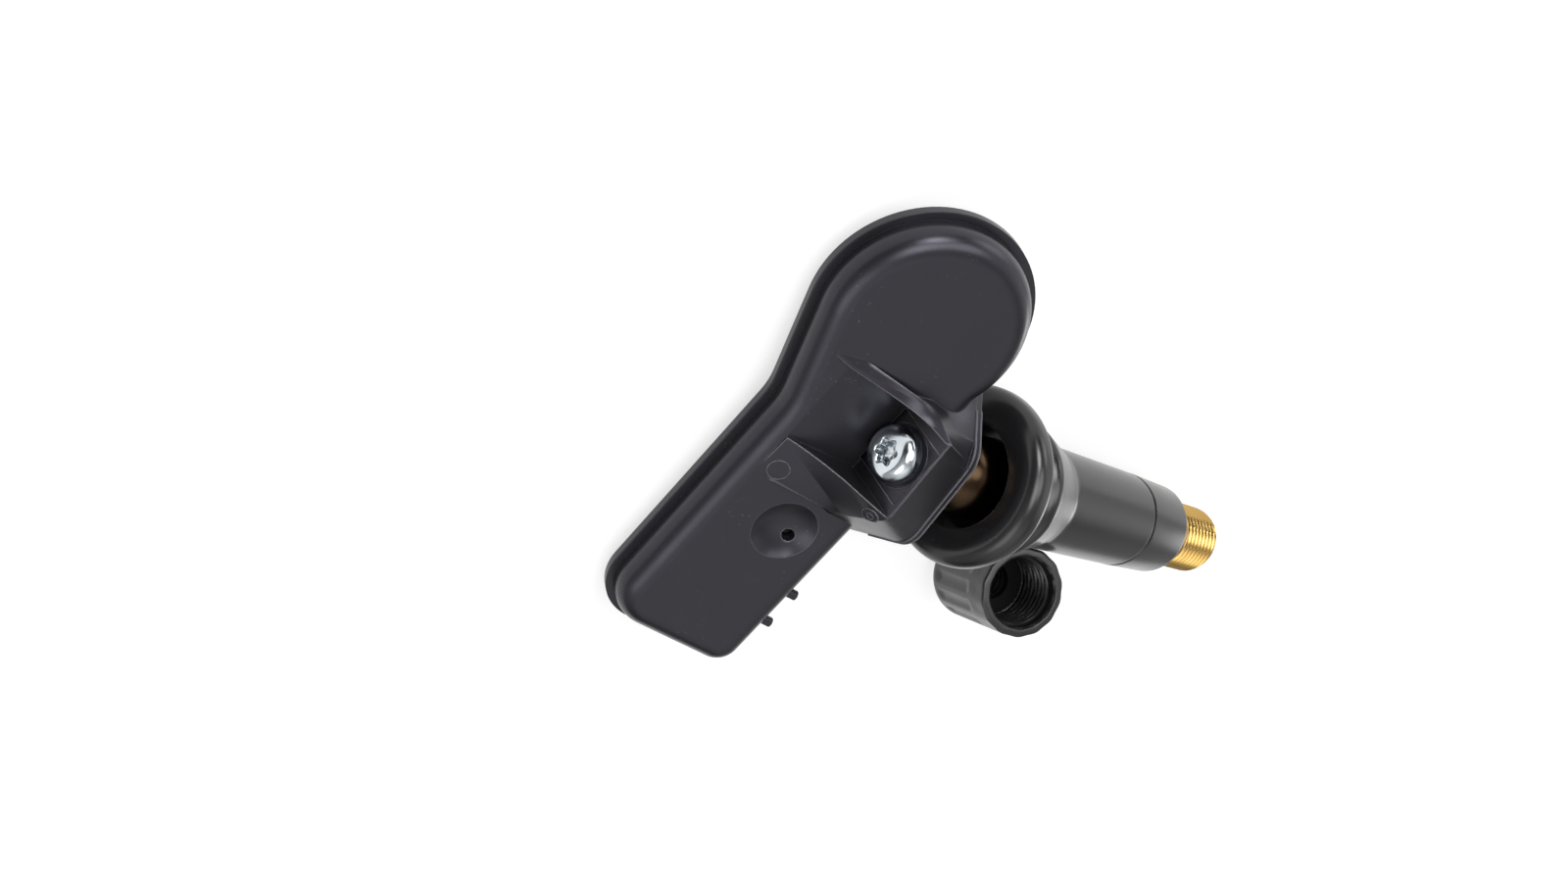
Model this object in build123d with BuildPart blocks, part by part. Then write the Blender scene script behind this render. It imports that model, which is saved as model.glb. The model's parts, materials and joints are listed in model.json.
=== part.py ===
from build123d import *
from math import cos, radians, sin, sqrt, tan
import os

# Snap-in tyre pressure sensor lying on a table, with its dust cap leaning on the valve.
# Millimetres: origin at the centre of the rim seat on the valve axis, +Z straight up from the table,
# +X level and towards the valve's mouth, +Y towards the battery end of the housing.

os.makedirs("parts", exist_ok=True)

# Rubber snap-in valve, lengths along the stem from the rubber flange's inner face
stem_angle = 21.35
stem_height = 2.0
flange_r = 9.6
flange_round = 1.6
flange_peak = 2.2
flange_back_round = 1.2
seat_start = 4.4
seat_end = 5.8
seat_r = 6.1
bulb_start = 6.8
bulb_start_r = 7.2
bulb_peak = 7.5
bulb_r = 7.56
bulb_end = 8.3
bulb_end_r = 7.35
cone_end = 13.74
cone_end_r = 5.64
witness_groove = 30.8
witness_r = 5.36
witness_width = 0.4
witness_depth = 0.25
sleeve_end = 38.6
sleeve_end_r = 5.12
sleeve_round = 0.45
cavity_r = 5.69
cavity_depth = 4.0

# Brass stem
thread_r = 3.85
tip_end = 48.45
tip_chamfer = 0.6
foot_face = -4.0
foot_r = 4.4
foot_shoulder = -0.4
foot_collar_start = 4.6
foot_collar_r = 4.9
foot_collar_width = 0.9
shank_r = 3.3
air_hole_r = 0.9
air_hole_at = 3.0
air_bore_start = 2.4
air_bore_r = 1.3
core_bore_r = 2.0
core_bore_start = 30.0
core_bore_cone = 0.7
core_thread_r = 2.6
core_thread_length = 7.0
core_cone_length = 1.1

# Valve core
core_gap = 0.04
core_recess = 0.9
core_head_length = 5.2
core_hole_r = 0.78
core_slot_width = 1.2
core_slot_depth = 1.3
core_barrel_r = 1.65
core_barrel_length = 5.6
core_barrel_wall = 0.35
core_lip_r = 0.75
core_lip_height = 0.5
core_gasket_start = 0.1
core_gasket_length = 0.8
pin_r = 0.42
pin_recess = 0.35
pin_button_r = 0.62
pin_button_height = 0.5
pin_collar_r = 1.15
pin_collar_height = 0.4
pin_collar_gap = 0.3
pin_travel = 1.2
pin_tail = 1.4
cup_r = 1.45
cup_height = 1.4
spring_r = 0.9
spring_wire_r = 0.13
spring_turns = 5

# Mounting screw, M3 with a six-lobe recess
screw_r = 1.5
screw_gap = 0.05
screw_head_r = 2.7
screw_head_height = 2.5
screw_head_round = 1.3
screw_tip = 1.6
screw_tip_chamfer = 0.3
tap_run_out = 0.4
recess_r = 1.38
recess_lobe_r = 0.34
recess_core_r = 1.05
recess_depth = 1.2
recess_lobes = 6
counterbore_r = 3.25
bearing_face = -10.4
pocket_floor = -10.7
pocket_width = 6.9
pocket_height = 7.0
pocket_depth = 0.2
screw_hole_r = 1.7

# Housing and cover outline seen from above, heights from the cover rim's lower edge
back_edge = -23.3
front_edge = -5.0
rect_end = -33.14
back_corner_r = 5.66
front_corner_r = 3.5
round_x = -15.97
round_y = 11.74
round_r = 11.58
waist_angle = 19.06
waist_round = 8.0
rim_height = 0.98
rim_step = 0.83
wall = 1.2
top_height = 4.36
top_round = 2.3
tray_step = 1.4
tray_depth = 2.4
tray_floor = 1.0
tray_round = 0.8
cover_gap = 0.02
saddle_ceiling = 2.25
saddle_zone = 6.2

# Saddle: two ridges with the driver channel between them, climbing to the boss
ridge_half = 4.8
ridge_land = 0.3
saddle_back = -20.2
saddle_lift = 0.25
saddle_sink = 0.1
saddle_near = 6.3
saddle_far = 10.0
ridge_round = 0.1
channel_low = 3.1
tail_back = -23.6
tail_spread = 0.5
tail_drop = 0.15
tail_depth = 0.8

# Boss that takes the valve's foot, its front plate and gusset
boss_back = -10.6
boss_low = 3.4
boss_near_top = 3.5
boss_near_front = 1.7
boss_near_low = 6.6
boss_shelf = 2.6
boss_shelf_front = 3.3
boss_far_top = 4.3
boss_far_angle = 50.0
boss_far_round = 2.2
plate_thickness = 1.0
plate_near_spread = 3.9
plate_near_top = 3.25
plate_near_angle = 49.8
plate_near_round = 4.0
plate_far_spread = 7.2
plate_far_top = 4.35
plate_far_angle = 55.0
plate_far_round = 2.8
gusset_length = 4.2
gusset_spread = 5.2
gusset_top = 1.6
gusset_tail = 6.5
gusset_tail_spread = 5.0
gusset_tail_top = 1.9

# Pressure port, a hole in a dish over a pad inside, and the stubs on the front wall
port_x = -11.45
port_y = -14.77
port_hole_r = 0.7
dish_x = -12.74
dish_y = -14.08
dish_r = 3.5
dish_depth = 1.1
pad_r = 3.6
pad_height = 0.6
stub_r = 0.55
stub_length = 0.9
stub_level = 2.6
stub_spots = (-25.3, -21.1)

# Circuit board and what it carries
board_inset = 0.35
board_end = 2.9
board_thickness = 0.8
sensor_size = 5.0
sensor_height = 1.2
sensor_hole_r = 0.5
sensor_hole_depth = 0.4
seal_r = 2.0
seal_hole_r = 0.8
seal_height = 0.46
radio_size = 4.0
radio_height = 0.9
radio_spot = (-16.4, -23.4)
crystal_length = 3.2
crystal_width = 2.5
crystal_height = 0.8
crystal_spot = (-11.4, -21.6)
coil_length = 7.6
coil_width = 2.4
coil_height = 1.5
coil_flange = 1.0
coil_waist = 1.5
coil_waist_low = 0.3
coil_waist_height = 0.9
coil_wire = 0.25
coil_spot = (-14.2, -8.6)
capacitor_length = 1.6
capacitor_width = 0.8
capacitor_height = 0.7
capacitor_spots = ((-18.8, -13.6), (-18.8, -16.6), (-9.0, -18.6), (-12.6, -25.6), (-15.2, -18.6),
                   (-9.4, -7.6))
loop_wall = 0.4
loop_height = 1.3
loop_end = -19.0
loop_inset = 1.0

# Lithium coin cell, 16 mm by 3.2 mm, and its welded tabs
cell_r = 8.0
cell_height = 3.2
cell_step_r = 6.9
cell_step = 0.35
cell_round = 0.3
tab_gap = 0.02
tab_thickness = 0.15
tab_width = 4.0
tab_foot = 1.0

# Dust cap, leaning on the sleeve with its closed end on the table
cap_r = 5.0
cap_length = 12.5
cap_bore_r = 3.9
cap_bore_depth = 7.1
cap_tip_r = 2.7
cap_tip_depth = 10.4
cap_mouth_round = 0.3
cap_end_round = 0.9
cap_flutes = 14
flute_r = 0.75
flute_depth = 0.28
flute_stop = 3.2
cap_seat_r = 3.7
cap_seal_gap = 0.02
cap_seal_hole_r = 2.0
cap_seal_height = 0.9
cap_lean = 35.0
cap_heading = 125.0
cap_foot_x = 15.4
cap_foot_y = -12.016

# Sensor frame: stem directions and the three points that touch the table
stem_along = Vector(cos(radians(stem_angle)), 0, -sin(radians(stem_angle)))
stem_across = Vector(sin(radians(stem_angle)), 0, cos(radians(stem_angle)))
stem_start = Vector(0, 0, stem_height)
seat_centre = stem_start + stem_along * (0.5 * (seat_start + seat_end))
rest_rect = Vector(back_edge + tray_step, rect_end + back_corner_r, -tray_depth)
rest_round = Vector(round_x - round_r + tray_step, round_y, -tray_depth)
rest_tip = stem_start + stem_along * (tip_end - tip_chamfer) - stem_across * thread_r
table_up = (rest_tip - rest_rect).cross(rest_round - rest_rect).normalized()
table_along = (stem_along - table_up * stem_along.dot(table_up)).normalized()
table_frame = Plane(origin=seat_centre, x_dir=table_along, z_dir=table_up)
table_level = (rest_rect - seat_centre).dot(table_up)

# Planes of the pieces in the table frame
body = Plane(table_frame.location.inverse())


def seated(plane: Plane) -> Plane:
    """Carry a plane drawn in the sensor's own frame over to the table frame."""
    return Plane(body.location * plane.location)


def across_stem(length: float) -> Plane:
    """Plane square to the stem at a length along it; x runs with the housing, y away from the cover."""
    return seated(Plane(origin=stem_start + stem_along * length, x_dir=(0, 1, 0), z_dir=stem_along))


def across_body(offset: float) -> Plane:
    """Upright plane across the housing; x runs towards the valve, y away from the cover."""
    return seated(Plane(origin=(0, offset, 0), x_dir=(1, 0, 0), z_dir=(0, -1, 0)))


def along_body(offset: float) -> Plane:
    """Upright plane along the housing; x runs towards the battery end, y away from the cover."""
    return seated(Plane(origin=(offset, 0, 0), x_dir=(0, 1, 0), z_dir=(1, 0, 0)))


def stem_point(length: float, lift: float) -> tuple[float, float]:
    """Side-view point given along the stem and square to it, as distances in the housing's frame."""
    point = stem_start + stem_along * length + stem_across * lift
    return (point.X, point.Z)


stem_section = seated(Plane(origin=stem_start, x_dir=stem_along, z_dir=(0, -1, 0)))
stem_axis = Axis(stem_section.origin, stem_section.x_dir)

# Cover outline: rectangular end, waist and round end
waist_normal = Vector(-cos(radians(waist_angle)), -sin(radians(waist_angle)), 0)
waist_end = Vector(round_x, round_y, 0) + waist_normal * round_r
waist_run = (back_edge - waist_end.X) / sin(radians(waist_angle))
waist_start = Vector(back_edge, waist_end.Y - waist_run * cos(radians(waist_angle)), 0)
round_front = round_y - sqrt(round_r ** 2 - (front_edge - round_x) ** 2)
with BuildSketch() as outline:
    with BuildLine():
        Line((back_edge, rect_end + back_corner_r), waist_start)
        Line(waist_start, waist_end)
        ThreePointArc(waist_end, (round_x, round_y + round_r), (front_edge, round_front))
        Line((front_edge, round_front), (front_edge, rect_end + front_corner_r))
        RadiusArc((front_edge, rect_end + front_corner_r), (front_edge - front_corner_r, rect_end),
                  front_corner_r)
        Line((front_edge - front_corner_r, rect_end), (back_edge + back_corner_r, rect_end))
        RadiusArc((back_edge + back_corner_r, rect_end), (back_edge, rect_end + back_corner_r),
                  back_corner_r)
    make_face()
    fillet(outline.vertices().sort_by_distance(waist_start)[0], waist_round)

wall_step = rim_step + wall
cavity_top = top_height - wall
pocket_step = tray_step + wall
everywhere = 8 * round_r

# Rear cover: rim, shallow tray and the pocket inside it
with BuildPart() as rear_cover:
    with BuildSketch(body):
        add(outline.sketch)
        offset(amount=-tray_step, mode=Mode.REPLACE)
    extrude(amount=-tray_depth)
    fillet(rear_cover.faces().sort_by(Axis(body.origin, body.z_dir))[0].edges(), tray_round)
    with BuildSketch(body):
        add(outline.sketch)
    extrude(amount=rim_height - cover_gap)
    with BuildSketch(body.offset(tray_floor - tray_depth)):
        add(outline.sketch)
        offset(amount=-pocket_step, mode=Mode.REPLACE)
    extrude(amount=tray_depth - tray_floor + rim_height, mode=Mode.SUBTRACT)
rear_cover.part.label = "rear_cover"
export_step(rear_cover.part, "parts/rear_cover.step")

# Starts of the ridges, the channel's side view, the corners of the boss and the port's bowl
ridge_out = ridge_half + ridge_land
slope_foot = top_height - saddle_sink
ridge_start = top_height + saddle_lift
tail_flank = tail_depth * (saddle_near - ridge_out) / (saddle_lift + saddle_sink)
channel_rise = channel_low - stem_height + pocket_floor * sin(radians(stem_angle))
channel_corner = stem_point(pocket_floor, channel_rise / cos(radians(stem_angle)))
channel_open = stem_point(pocket_floor, 2 * boss_far_top)
boss_front = foot_face - plate_thickness
boss_top_lean = (boss_far_top - boss_near_top) / (2 * ridge_out)
boss_shelf_back = boss_near_top + boss_top_lean * (ridge_out - boss_shelf)
boss_far_low = ridge_out + (boss_far_top + boss_low) / tan(radians(boss_far_angle))
plate_far_low = plate_far_spread + (plate_far_top + boss_low) / tan(radians(plate_far_angle))
plate_near_low = plate_near_spread + (plate_near_top + boss_low) / tan(radians(plate_near_angle))
dish_bowl_r = (dish_r ** 2 + dish_depth ** 2) / (2 * dish_depth)
pad_low = cavity_top - pad_height


def ridge_section(inside: float, top: float) -> Polyline:
    """Outline of the near ridge's tail, from its inner face and its top."""
    outside = inside + ridge_land
    return Polyline((inside, top - tail_depth), (inside, top), (outside, top),
                    (outside + tail_flank, top - tail_depth), close=True)


with BuildPart() as housing:
    # Shell with a soft shoulder
    with BuildSketch(body.offset(rim_height)):
        add(outline.sketch)
        offset(amount=-rim_step, mode=Mode.REPLACE)
    extrude(amount=top_height - rim_height)
    fillet(housing.faces().sort_by(Axis(body.origin, body.z_dir))[-1].edges(), top_round)
    # Saddle that climbs from the back shoulder, and the boss that widens from it to the front plate
    with BuildSketch(along_body(saddle_back)) as saddle_start:
        with BuildLine():
            Polyline((-saddle_far, slope_foot), (saddle_near, slope_foot), (ridge_out, ridge_start),
                     (boss_shelf, ridge_start), (-ridge_out, ridge_start), close=True)
        make_face()
        fillet(saddle_start.vertices().sort_by_distance((-ridge_out, ridge_start))[0], ridge_round)
    with BuildSketch(across_stem(boss_back)) as saddle_end:
        with BuildLine():
            Polyline((-boss_far_low, -boss_low), (boss_near_low, -boss_low), (ridge_out, boss_near_top),
                     (boss_shelf, boss_shelf_back), (-ridge_out, boss_far_top), close=True)
        make_face()
        fillet(saddle_end.vertices().sort_by_distance((-ridge_out, boss_far_top))[0], boss_far_round)
    with BuildSketch(across_stem(boss_front)) as boss_end:
        with BuildLine():
            Polyline((-plate_far_low, -boss_low), (boss_near_low, -boss_low), (ridge_out, boss_near_front),
                     (boss_shelf, boss_shelf_front), (-plate_far_spread, plate_far_top), close=True)
        make_face()
        fillet(boss_end.vertices().sort_by_distance((-plate_far_spread, plate_far_top))[0],
               plate_far_round)
    loft(ruled=True)
    # Tail of the near ridge, running out on the shoulder
    with BuildSketch(along_body(tail_back)):
        with BuildLine():
            ridge_section(ridge_half + tail_spread, top_height - tail_drop)
        make_face()
    with BuildSketch(along_body(saddle_back)):
        with BuildLine():
            ridge_section(ridge_half, ridge_start)
        make_face()
    loft(ruled=True)
    # Rounded front plate against the foot of the valve
    with BuildSketch(across_stem(boss_front)) as plate:
        with BuildLine():
            Polyline((-plate_far_low, -boss_low), (plate_near_low, -boss_low),
                     (plate_near_spread, plate_near_top), (-plate_far_spread, plate_far_top), close=True)
        make_face()
        fillet(plate.vertices().sort_by_distance((plate_near_spread, plate_near_top))[0], plate_near_round)
        fillet(plate.vertices().sort_by_distance((-plate_far_spread, plate_far_top))[0], plate_far_round)
    extrude(amount=plate_thickness)
    # Gusset between the front plate and the saddle's side
    with BuildSketch(across_stem(boss_front)):
        with BuildLine():
            Polyline((0, -boss_low), (plate_near_low, -boss_low), (gusset_spread, gusset_top),
                     (0, gusset_top), close=True)
        make_face()
    with BuildSketch(across_stem(boss_front - gusset_length)):
        with BuildLine():
            Polyline((0, -boss_low), (gusset_tail, -boss_low), (gusset_tail_spread, gusset_tail_top),
                     (0, gusset_tail_top), close=True)
        make_face()
    loft(ruled=True)
    # Nothing of the boss below the cover joint
    with BuildSketch(body.offset(rim_height)):
        Rectangle(everywhere, everywhere)
    extrude(amount=-everywhere, mode=Mode.SUBTRACT)
    # Driver channel between the ridges
    with BuildSketch(across_body(ridge_half)):
        with BuildLine():
            Polyline((saddle_back - top_height, top_height), (saddle_back, top_height), channel_corner,
                     channel_open, (saddle_back - top_height, channel_open[1]), close=True)
        make_face()
    extrude(amount=2 * ridge_half, mode=Mode.SUBTRACT)
    # Square pocket, counterbore and screw hole
    with BuildSketch(across_stem(pocket_floor + pocket_depth)):
        Rectangle(pocket_width, pocket_height)
    extrude(amount=-2 * pocket_depth, mode=Mode.SUBTRACT)
    with BuildSketch(across_stem(bearing_face)):
        Circle(counterbore_r)
    extrude(amount=-2 * screw_head_height, mode=Mode.SUBTRACT)
    with BuildSketch(across_stem(foot_face)):
        Circle(screw_hole_r)
    extrude(amount=2 * boss_back, mode=Mode.SUBTRACT)
    # Moulding stubs on the front wall
    for stub_y in stub_spots:
        with BuildSketch(along_body(front_edge - wall_step)):
            with Locations((stub_y, stub_level)):
                Circle(stub_r)
        extrude(amount=wall + stub_length)
    # Hollow for the electronics, lower under the saddle
    with BuildSketch(body.offset(rim_height)):
        add(outline.sketch)
        offset(amount=-wall_step, mode=Mode.REPLACE)
    extrude(amount=saddle_ceiling - rim_height, mode=Mode.SUBTRACT)
    with BuildSketch(body.offset(saddle_ceiling)):
        add(outline.sketch)
        offset(amount=-wall_step, mode=Mode.REPLACE)
        Rectangle(everywhere, 2 * saddle_zone, mode=Mode.SUBTRACT)
    extrude(amount=cavity_top - saddle_ceiling, mode=Mode.SUBTRACT)
    # Pressure port: pad under the top, dish in the top and the hole down to the chip's seal
    with BuildSketch(body.offset(pad_low)):
        with Locations((dish_x, dish_y)):
            Circle(pad_r)
    extrude(amount=pad_height)
    with BuildSketch(across_body(dish_y)):
        with BuildLine():
            Line((dish_x, top_height + dish_depth), (dish_x, top_height - dish_depth))
            RadiusArc((dish_x, top_height - dish_depth), (dish_x + dish_r, top_height), -dish_bowl_r)
            Line((dish_x + dish_r, top_height), (dish_x + dish_r, top_height + dish_depth))
            Line((dish_x + dish_r, top_height + dish_depth), (dish_x, top_height + dish_depth))
        make_face()
    revolve(axis=Axis(body.from_local_coords((dish_x, dish_y, 0)), body.z_dir), mode=Mode.SUBTRACT)
    with BuildSketch(body.offset(pad_low)):
        with Locations((port_x, port_y)):
            Circle(port_hole_r)
    extrude(amount=top_height - pad_low, mode=Mode.SUBTRACT)
housing.part.label = "housing"
export_step(housing.part, "parts/housing.step")

# Mounting screw through the boss into the foot
head_top = bearing_face - screw_head_height
with BuildPart() as mounting_screw:
    with BuildSketch(stem_section):
        with BuildLine():
            Polyline((head_top, 0), (screw_tip, 0), (screw_tip, screw_r - screw_tip_chamfer),
                     (screw_tip - screw_tip_chamfer, screw_r), (bearing_face, screw_r),
                     (bearing_face, screw_head_r), (head_top + screw_head_round, screw_head_r))
            RadiusArc((head_top + screw_head_round, screw_head_r),
                      (head_top, screw_head_r - screw_head_round), -screw_head_round)
            Line((head_top, screw_head_r - screw_head_round), (head_top, 0))
        make_face()
    revolve(axis=stem_axis)
    with BuildSketch(across_stem(head_top)):
        Circle(recess_core_r)
        with PolarLocations(recess_r - recess_lobe_r, recess_lobes):
            Circle(recess_lobe_r)
    extrude(amount=recess_depth, mode=Mode.SUBTRACT)
mounting_screw.part.label = "mounting_screw"
export_step(mounting_screw.part, "parts/mounting_screw.step")

# Brass stem: ball-ended foot, collar, shank and threaded mouth
foot_face_r = sqrt(foot_r ** 2 - (foot_shoulder - foot_face) ** 2)
collar_end = foot_collar_start + foot_collar_width
core_seat = tip_end - core_thread_length
with BuildPart() as valve_stem:
    with BuildSketch(stem_section):
        with BuildLine():
            Polyline((tip_end, 0), (foot_face, 0), (foot_face, foot_face_r))
            RadiusArc((foot_face, foot_face_r), (foot_shoulder, foot_r), foot_r)
            Polyline((foot_shoulder, foot_r), (foot_collar_start, foot_r), (foot_collar_start, foot_collar_r),
                     (collar_end, foot_collar_r), (collar_end, shank_r), (sleeve_end, shank_r),
                     (sleeve_end, thread_r), (tip_end - tip_chamfer, thread_r),
                     (tip_end, thread_r - tip_chamfer), (tip_end, 0))
        make_face()
    revolve(axis=stem_axis)
    # Air bore, core bore, sealing cone and core thread
    with BuildSketch(stem_section):
        with BuildLine():
            Polyline((air_bore_start, 0), (air_bore_start, air_bore_r), (core_bore_start, air_bore_r),
                     (core_bore_start + core_bore_cone, core_bore_r),
                     (core_seat - core_cone_length, core_bore_r), (core_seat, core_thread_r),
                     (tip_end, core_thread_r), (tip_end, 0), close=True)
        make_face()
    revolve(axis=stem_axis, mode=Mode.SUBTRACT)
    # Cross hole that lets air past the foot, and the screw's tapped hole
    with BuildSketch(across_body(0)):
        with Locations(stem_point(air_hole_at, 0)):
            Circle(air_hole_r)
    extrude(amount=2 * foot_r, both=True, mode=Mode.SUBTRACT)
    with BuildSketch(across_stem(foot_face)):
        Circle(screw_r + screw_gap)
    extrude(amount=screw_tip + tap_run_out - foot_face, mode=Mode.SUBTRACT)
valve_stem.part.label = "valve_stem"
export_step(valve_stem.part, "parts/valve_stem.step")

# Rubber moulded round the stem
flange_back = flange_peak + flange_back_round
flange_back_r = flange_r - flange_back_round
witness_start = witness_groove - 0.5 * witness_width
witness_stop = witness_groove + 0.5 * witness_width
with BuildPart() as valve_rubber:
    with BuildSketch(stem_section):
        with BuildLine():
            Line((0, cavity_r), (0, flange_r - flange_round))
            RadiusArc((0, flange_r - flange_round), (flange_round, flange_r), flange_round)
            Line((flange_round, flange_r), (flange_peak, flange_r))
            RadiusArc((flange_peak, flange_r), (flange_back, flange_back_r), flange_back_round)
            Polyline((flange_back, flange_back_r), (seat_start, seat_r), (seat_end, seat_r),
                     (bulb_start, bulb_start_r))
            ThreePointArc((bulb_start, bulb_start_r), (bulb_peak, bulb_r), (bulb_end, bulb_end_r))
            Polyline((bulb_end, bulb_end_r), (cone_end, cone_end_r), (witness_start, witness_r),
                     (witness_groove, witness_r - witness_depth), (witness_stop, witness_r),
                     (sleeve_end - sleeve_round, sleeve_end_r))
            RadiusArc((sleeve_end - sleeve_round, sleeve_end_r), (sleeve_end, sleeve_end_r - sleeve_round),
                      sleeve_round)
            Polyline((sleeve_end, sleeve_end_r - sleeve_round), (sleeve_end, shank_r), (collar_end, shank_r),
                     (collar_end, foot_collar_r), (foot_collar_start, foot_collar_r),
                     (foot_collar_start, foot_r), (cavity_depth, foot_r), (cavity_depth, cavity_r),
                     (0, cavity_r))
        make_face()
    revolve(axis=stem_axis)
valve_rubber.part.label = "valve_rubber"
export_step(valve_rubber.part, "parts/valve_rubber.step")

# Valve core: slotted head
core_top = tip_end - core_recess
core_head_low = core_top - core_head_length
with BuildPart() as core_head:
    with BuildSketch(across_stem(core_head_low)):
        Circle(core_thread_r - core_gap)
        Circle(core_hole_r, mode=Mode.SUBTRACT)
    extrude(amount=core_head_length)
    with BuildSketch(across_stem(core_top)):
        Rectangle(2 * core_thread_r, core_slot_width)
    extrude(amount=-core_slot_depth, mode=Mode.SUBTRACT)
core_head.part.label = "core_head"
export_step(core_head.part, "parts/core_head.step")

# Barrel hanging under the head, with a lip at its inner end
barrel_top = core_head_low - core_gap
barrel_low = barrel_top - core_barrel_length
lip_top = barrel_low + core_lip_height
with BuildPart() as core_barrel:
    with BuildSketch(stem_section):
        with BuildLine():
            Polyline((barrel_low, core_lip_r), (barrel_low, core_barrel_r), (barrel_top, core_barrel_r),
                     (barrel_top, core_barrel_r - core_barrel_wall),
                     (lip_top, core_barrel_r - core_barrel_wall), (lip_top, core_lip_r), close=True)
        make_face()
    revolve(axis=stem_axis)
core_barrel.part.label = "core_barrel"
export_step(core_barrel.part, "parts/core_barrel.step")

# Gasket on the sealing cone
cone_slope = (core_thread_r - core_bore_r) / core_cone_length
gasket_low = core_seat - core_cone_length + core_gasket_start
gasket_low_r = core_bore_r + cone_slope * core_gasket_start - core_gap
gasket_top = gasket_low + core_gasket_length
with BuildPart() as core_gasket:
    with BuildSketch(stem_section):
        with BuildLine():
            Polyline((gasket_low, core_barrel_r), (gasket_low, gasket_low_r),
                     (gasket_top, gasket_low_r + cone_slope * core_gasket_length),
                     (gasket_top, core_barrel_r), close=True)
        make_face()
    revolve(axis=stem_axis)
core_gasket.part.label = "core_gasket"
export_step(core_gasket.part, "parts/core_gasket.step")

# Pin with its button, spring collar and tail
pin_top = tip_end - pin_recess
button_low = pin_top - pin_button_height
collar_top = barrel_top - pin_collar_gap
collar_low = collar_top - pin_collar_height
cup_top = barrel_low - core_gap
cup_low = cup_top - cup_height
with BuildPart() as core_pin:
    with BuildSketch(stem_section):
        with BuildLine():
            Polyline((cup_low - pin_tail, 0), (cup_low - pin_tail, pin_r), (collar_low, pin_r),
                     (collar_low, pin_collar_r), (collar_top, pin_collar_r), (collar_top, pin_r),
                     (button_low, pin_r), (button_low, pin_button_r), (pin_top, pin_button_r), (pin_top, 0),
                     close=True)
        make_face()
    revolve(axis=stem_axis)
core_pin.part.label = "core_pin"
export_step(core_pin.part, "parts/core_pin.step")

# Seal cup on the pin, closing the barrel from inside
with BuildPart() as core_cup:
    with BuildSketch(across_stem(cup_low)):
        Circle(cup_r)
        Circle(pin_r, mode=Mode.SUBTRACT)
    extrude(amount=cup_height)
core_cup.part.label = "core_cup"
export_step(core_cup.part, "parts/core_cup.step")

# Return spring under the collar, free of the lip by the pin's travel
spring_low = lip_top + pin_travel + core_gap + spring_wire_r
spring_top = collar_low - core_gap - spring_wire_r
spring_pitch = (spring_top - spring_low) / spring_turns
with BuildPart() as core_spring:
    with BuildLine() as coil:
        Helix(spring_pitch, spring_top - spring_low, spring_r, center=across_stem(spring_low).origin,
              direction=stem_section.x_dir)
    with BuildSketch(Plane(coil.line @ 0, z_dir=coil.line % 0)):
        Circle(spring_wire_r)
    sweep(path=coil.line)
core_spring.part.label = "core_spring"
export_step(core_spring.part, "parts/core_spring.step")

# Circuit board inside the cover's pocket
board_step = pocket_step + board_inset
board_top = pad_low - seal_height - sensor_height
board_low = board_top - board_thickness
with BuildPart() as circuit_board:
    with BuildSketch(body.offset(board_low)):
        add(outline.sketch)
        offset(amount=-board_step, mode=Mode.REPLACE)
        with Locations((0, board_end + 0.5 * everywhere)):
            Rectangle(everywhere, everywhere, mode=Mode.SUBTRACT)
    extrude(amount=board_thickness)
circuit_board.part.label = "circuit_board"
export_step(circuit_board.part, "parts/circuit_board.step")

# Pressure chip under the port, and the ring that seals it to the housing
with BuildPart() as sensor_chip:
    with BuildSketch(body.offset(board_top)):
        with Locations((port_x, port_y)):
            Rectangle(sensor_size, sensor_size)
    extrude(amount=sensor_height)
    with BuildSketch(body.offset(board_top + sensor_height)):
        with Locations((port_x, port_y)):
            Circle(sensor_hole_r)
    extrude(amount=-sensor_hole_depth, mode=Mode.SUBTRACT)
sensor_chip.part.label = "sensor_chip"
export_step(sensor_chip.part, "parts/sensor_chip.step")

with BuildPart() as port_seal:
    with BuildSketch(body.offset(board_top + sensor_height)):
        with Locations((port_x, port_y)):
            Circle(seal_r)
            Circle(seal_hole_r, mode=Mode.SUBTRACT)
    extrude(amount=seal_height)
port_seal.part.label = "port_seal"
export_step(port_seal.part, "parts/port_seal.step")

with BuildPart() as radio_chip:
    with BuildSketch(body.offset(board_top)):
        with Locations(radio_spot):
            Rectangle(radio_size, radio_size)
    extrude(amount=radio_height)
radio_chip.part.label = "radio_chip"
export_step(radio_chip.part, "parts/radio_chip.step")

with BuildPart() as crystal:
    with BuildSketch(body.offset(board_top)):
        with Locations(crystal_spot):
            Rectangle(crystal_length, crystal_width)
    extrude(amount=crystal_height)
crystal.part.label = "crystal"
export_step(crystal.part, "parts/crystal.step")

# Wake-up coil: ferrite bobbin and its winding
with BuildPart() as coil_core:
    with BuildSketch(body.offset(board_top)):
        with Locations(coil_spot):
            Rectangle(coil_length, coil_width)
            Rectangle(coil_length - 2 * coil_flange, coil_width, mode=Mode.SUBTRACT)
    extrude(amount=coil_height)
    with BuildSketch(body.offset(board_top + coil_waist_low)):
        with Locations(coil_spot):
            Rectangle(coil_length - coil_flange, coil_waist)
    extrude(amount=coil_waist_height)
coil_core.part.label = "coil_core"
export_step(coil_core.part, "parts/coil_core.step")

with BuildPart() as coil_winding:
    with BuildSketch(along_body(coil_spot[0])):
        with Locations((coil_spot[1], board_top + coil_waist_low + 0.5 * coil_waist_height)):
            Rectangle(coil_waist + 2 * coil_wire, coil_waist_height + 2 * coil_wire)
            Rectangle(coil_waist, coil_waist_height, mode=Mode.SUBTRACT)
    extrude(amount=0.5 * coil_length - coil_flange, both=True)
coil_winding.part.label = "coil_winding"
export_step(coil_winding.part, "parts/coil_winding.step")

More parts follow.
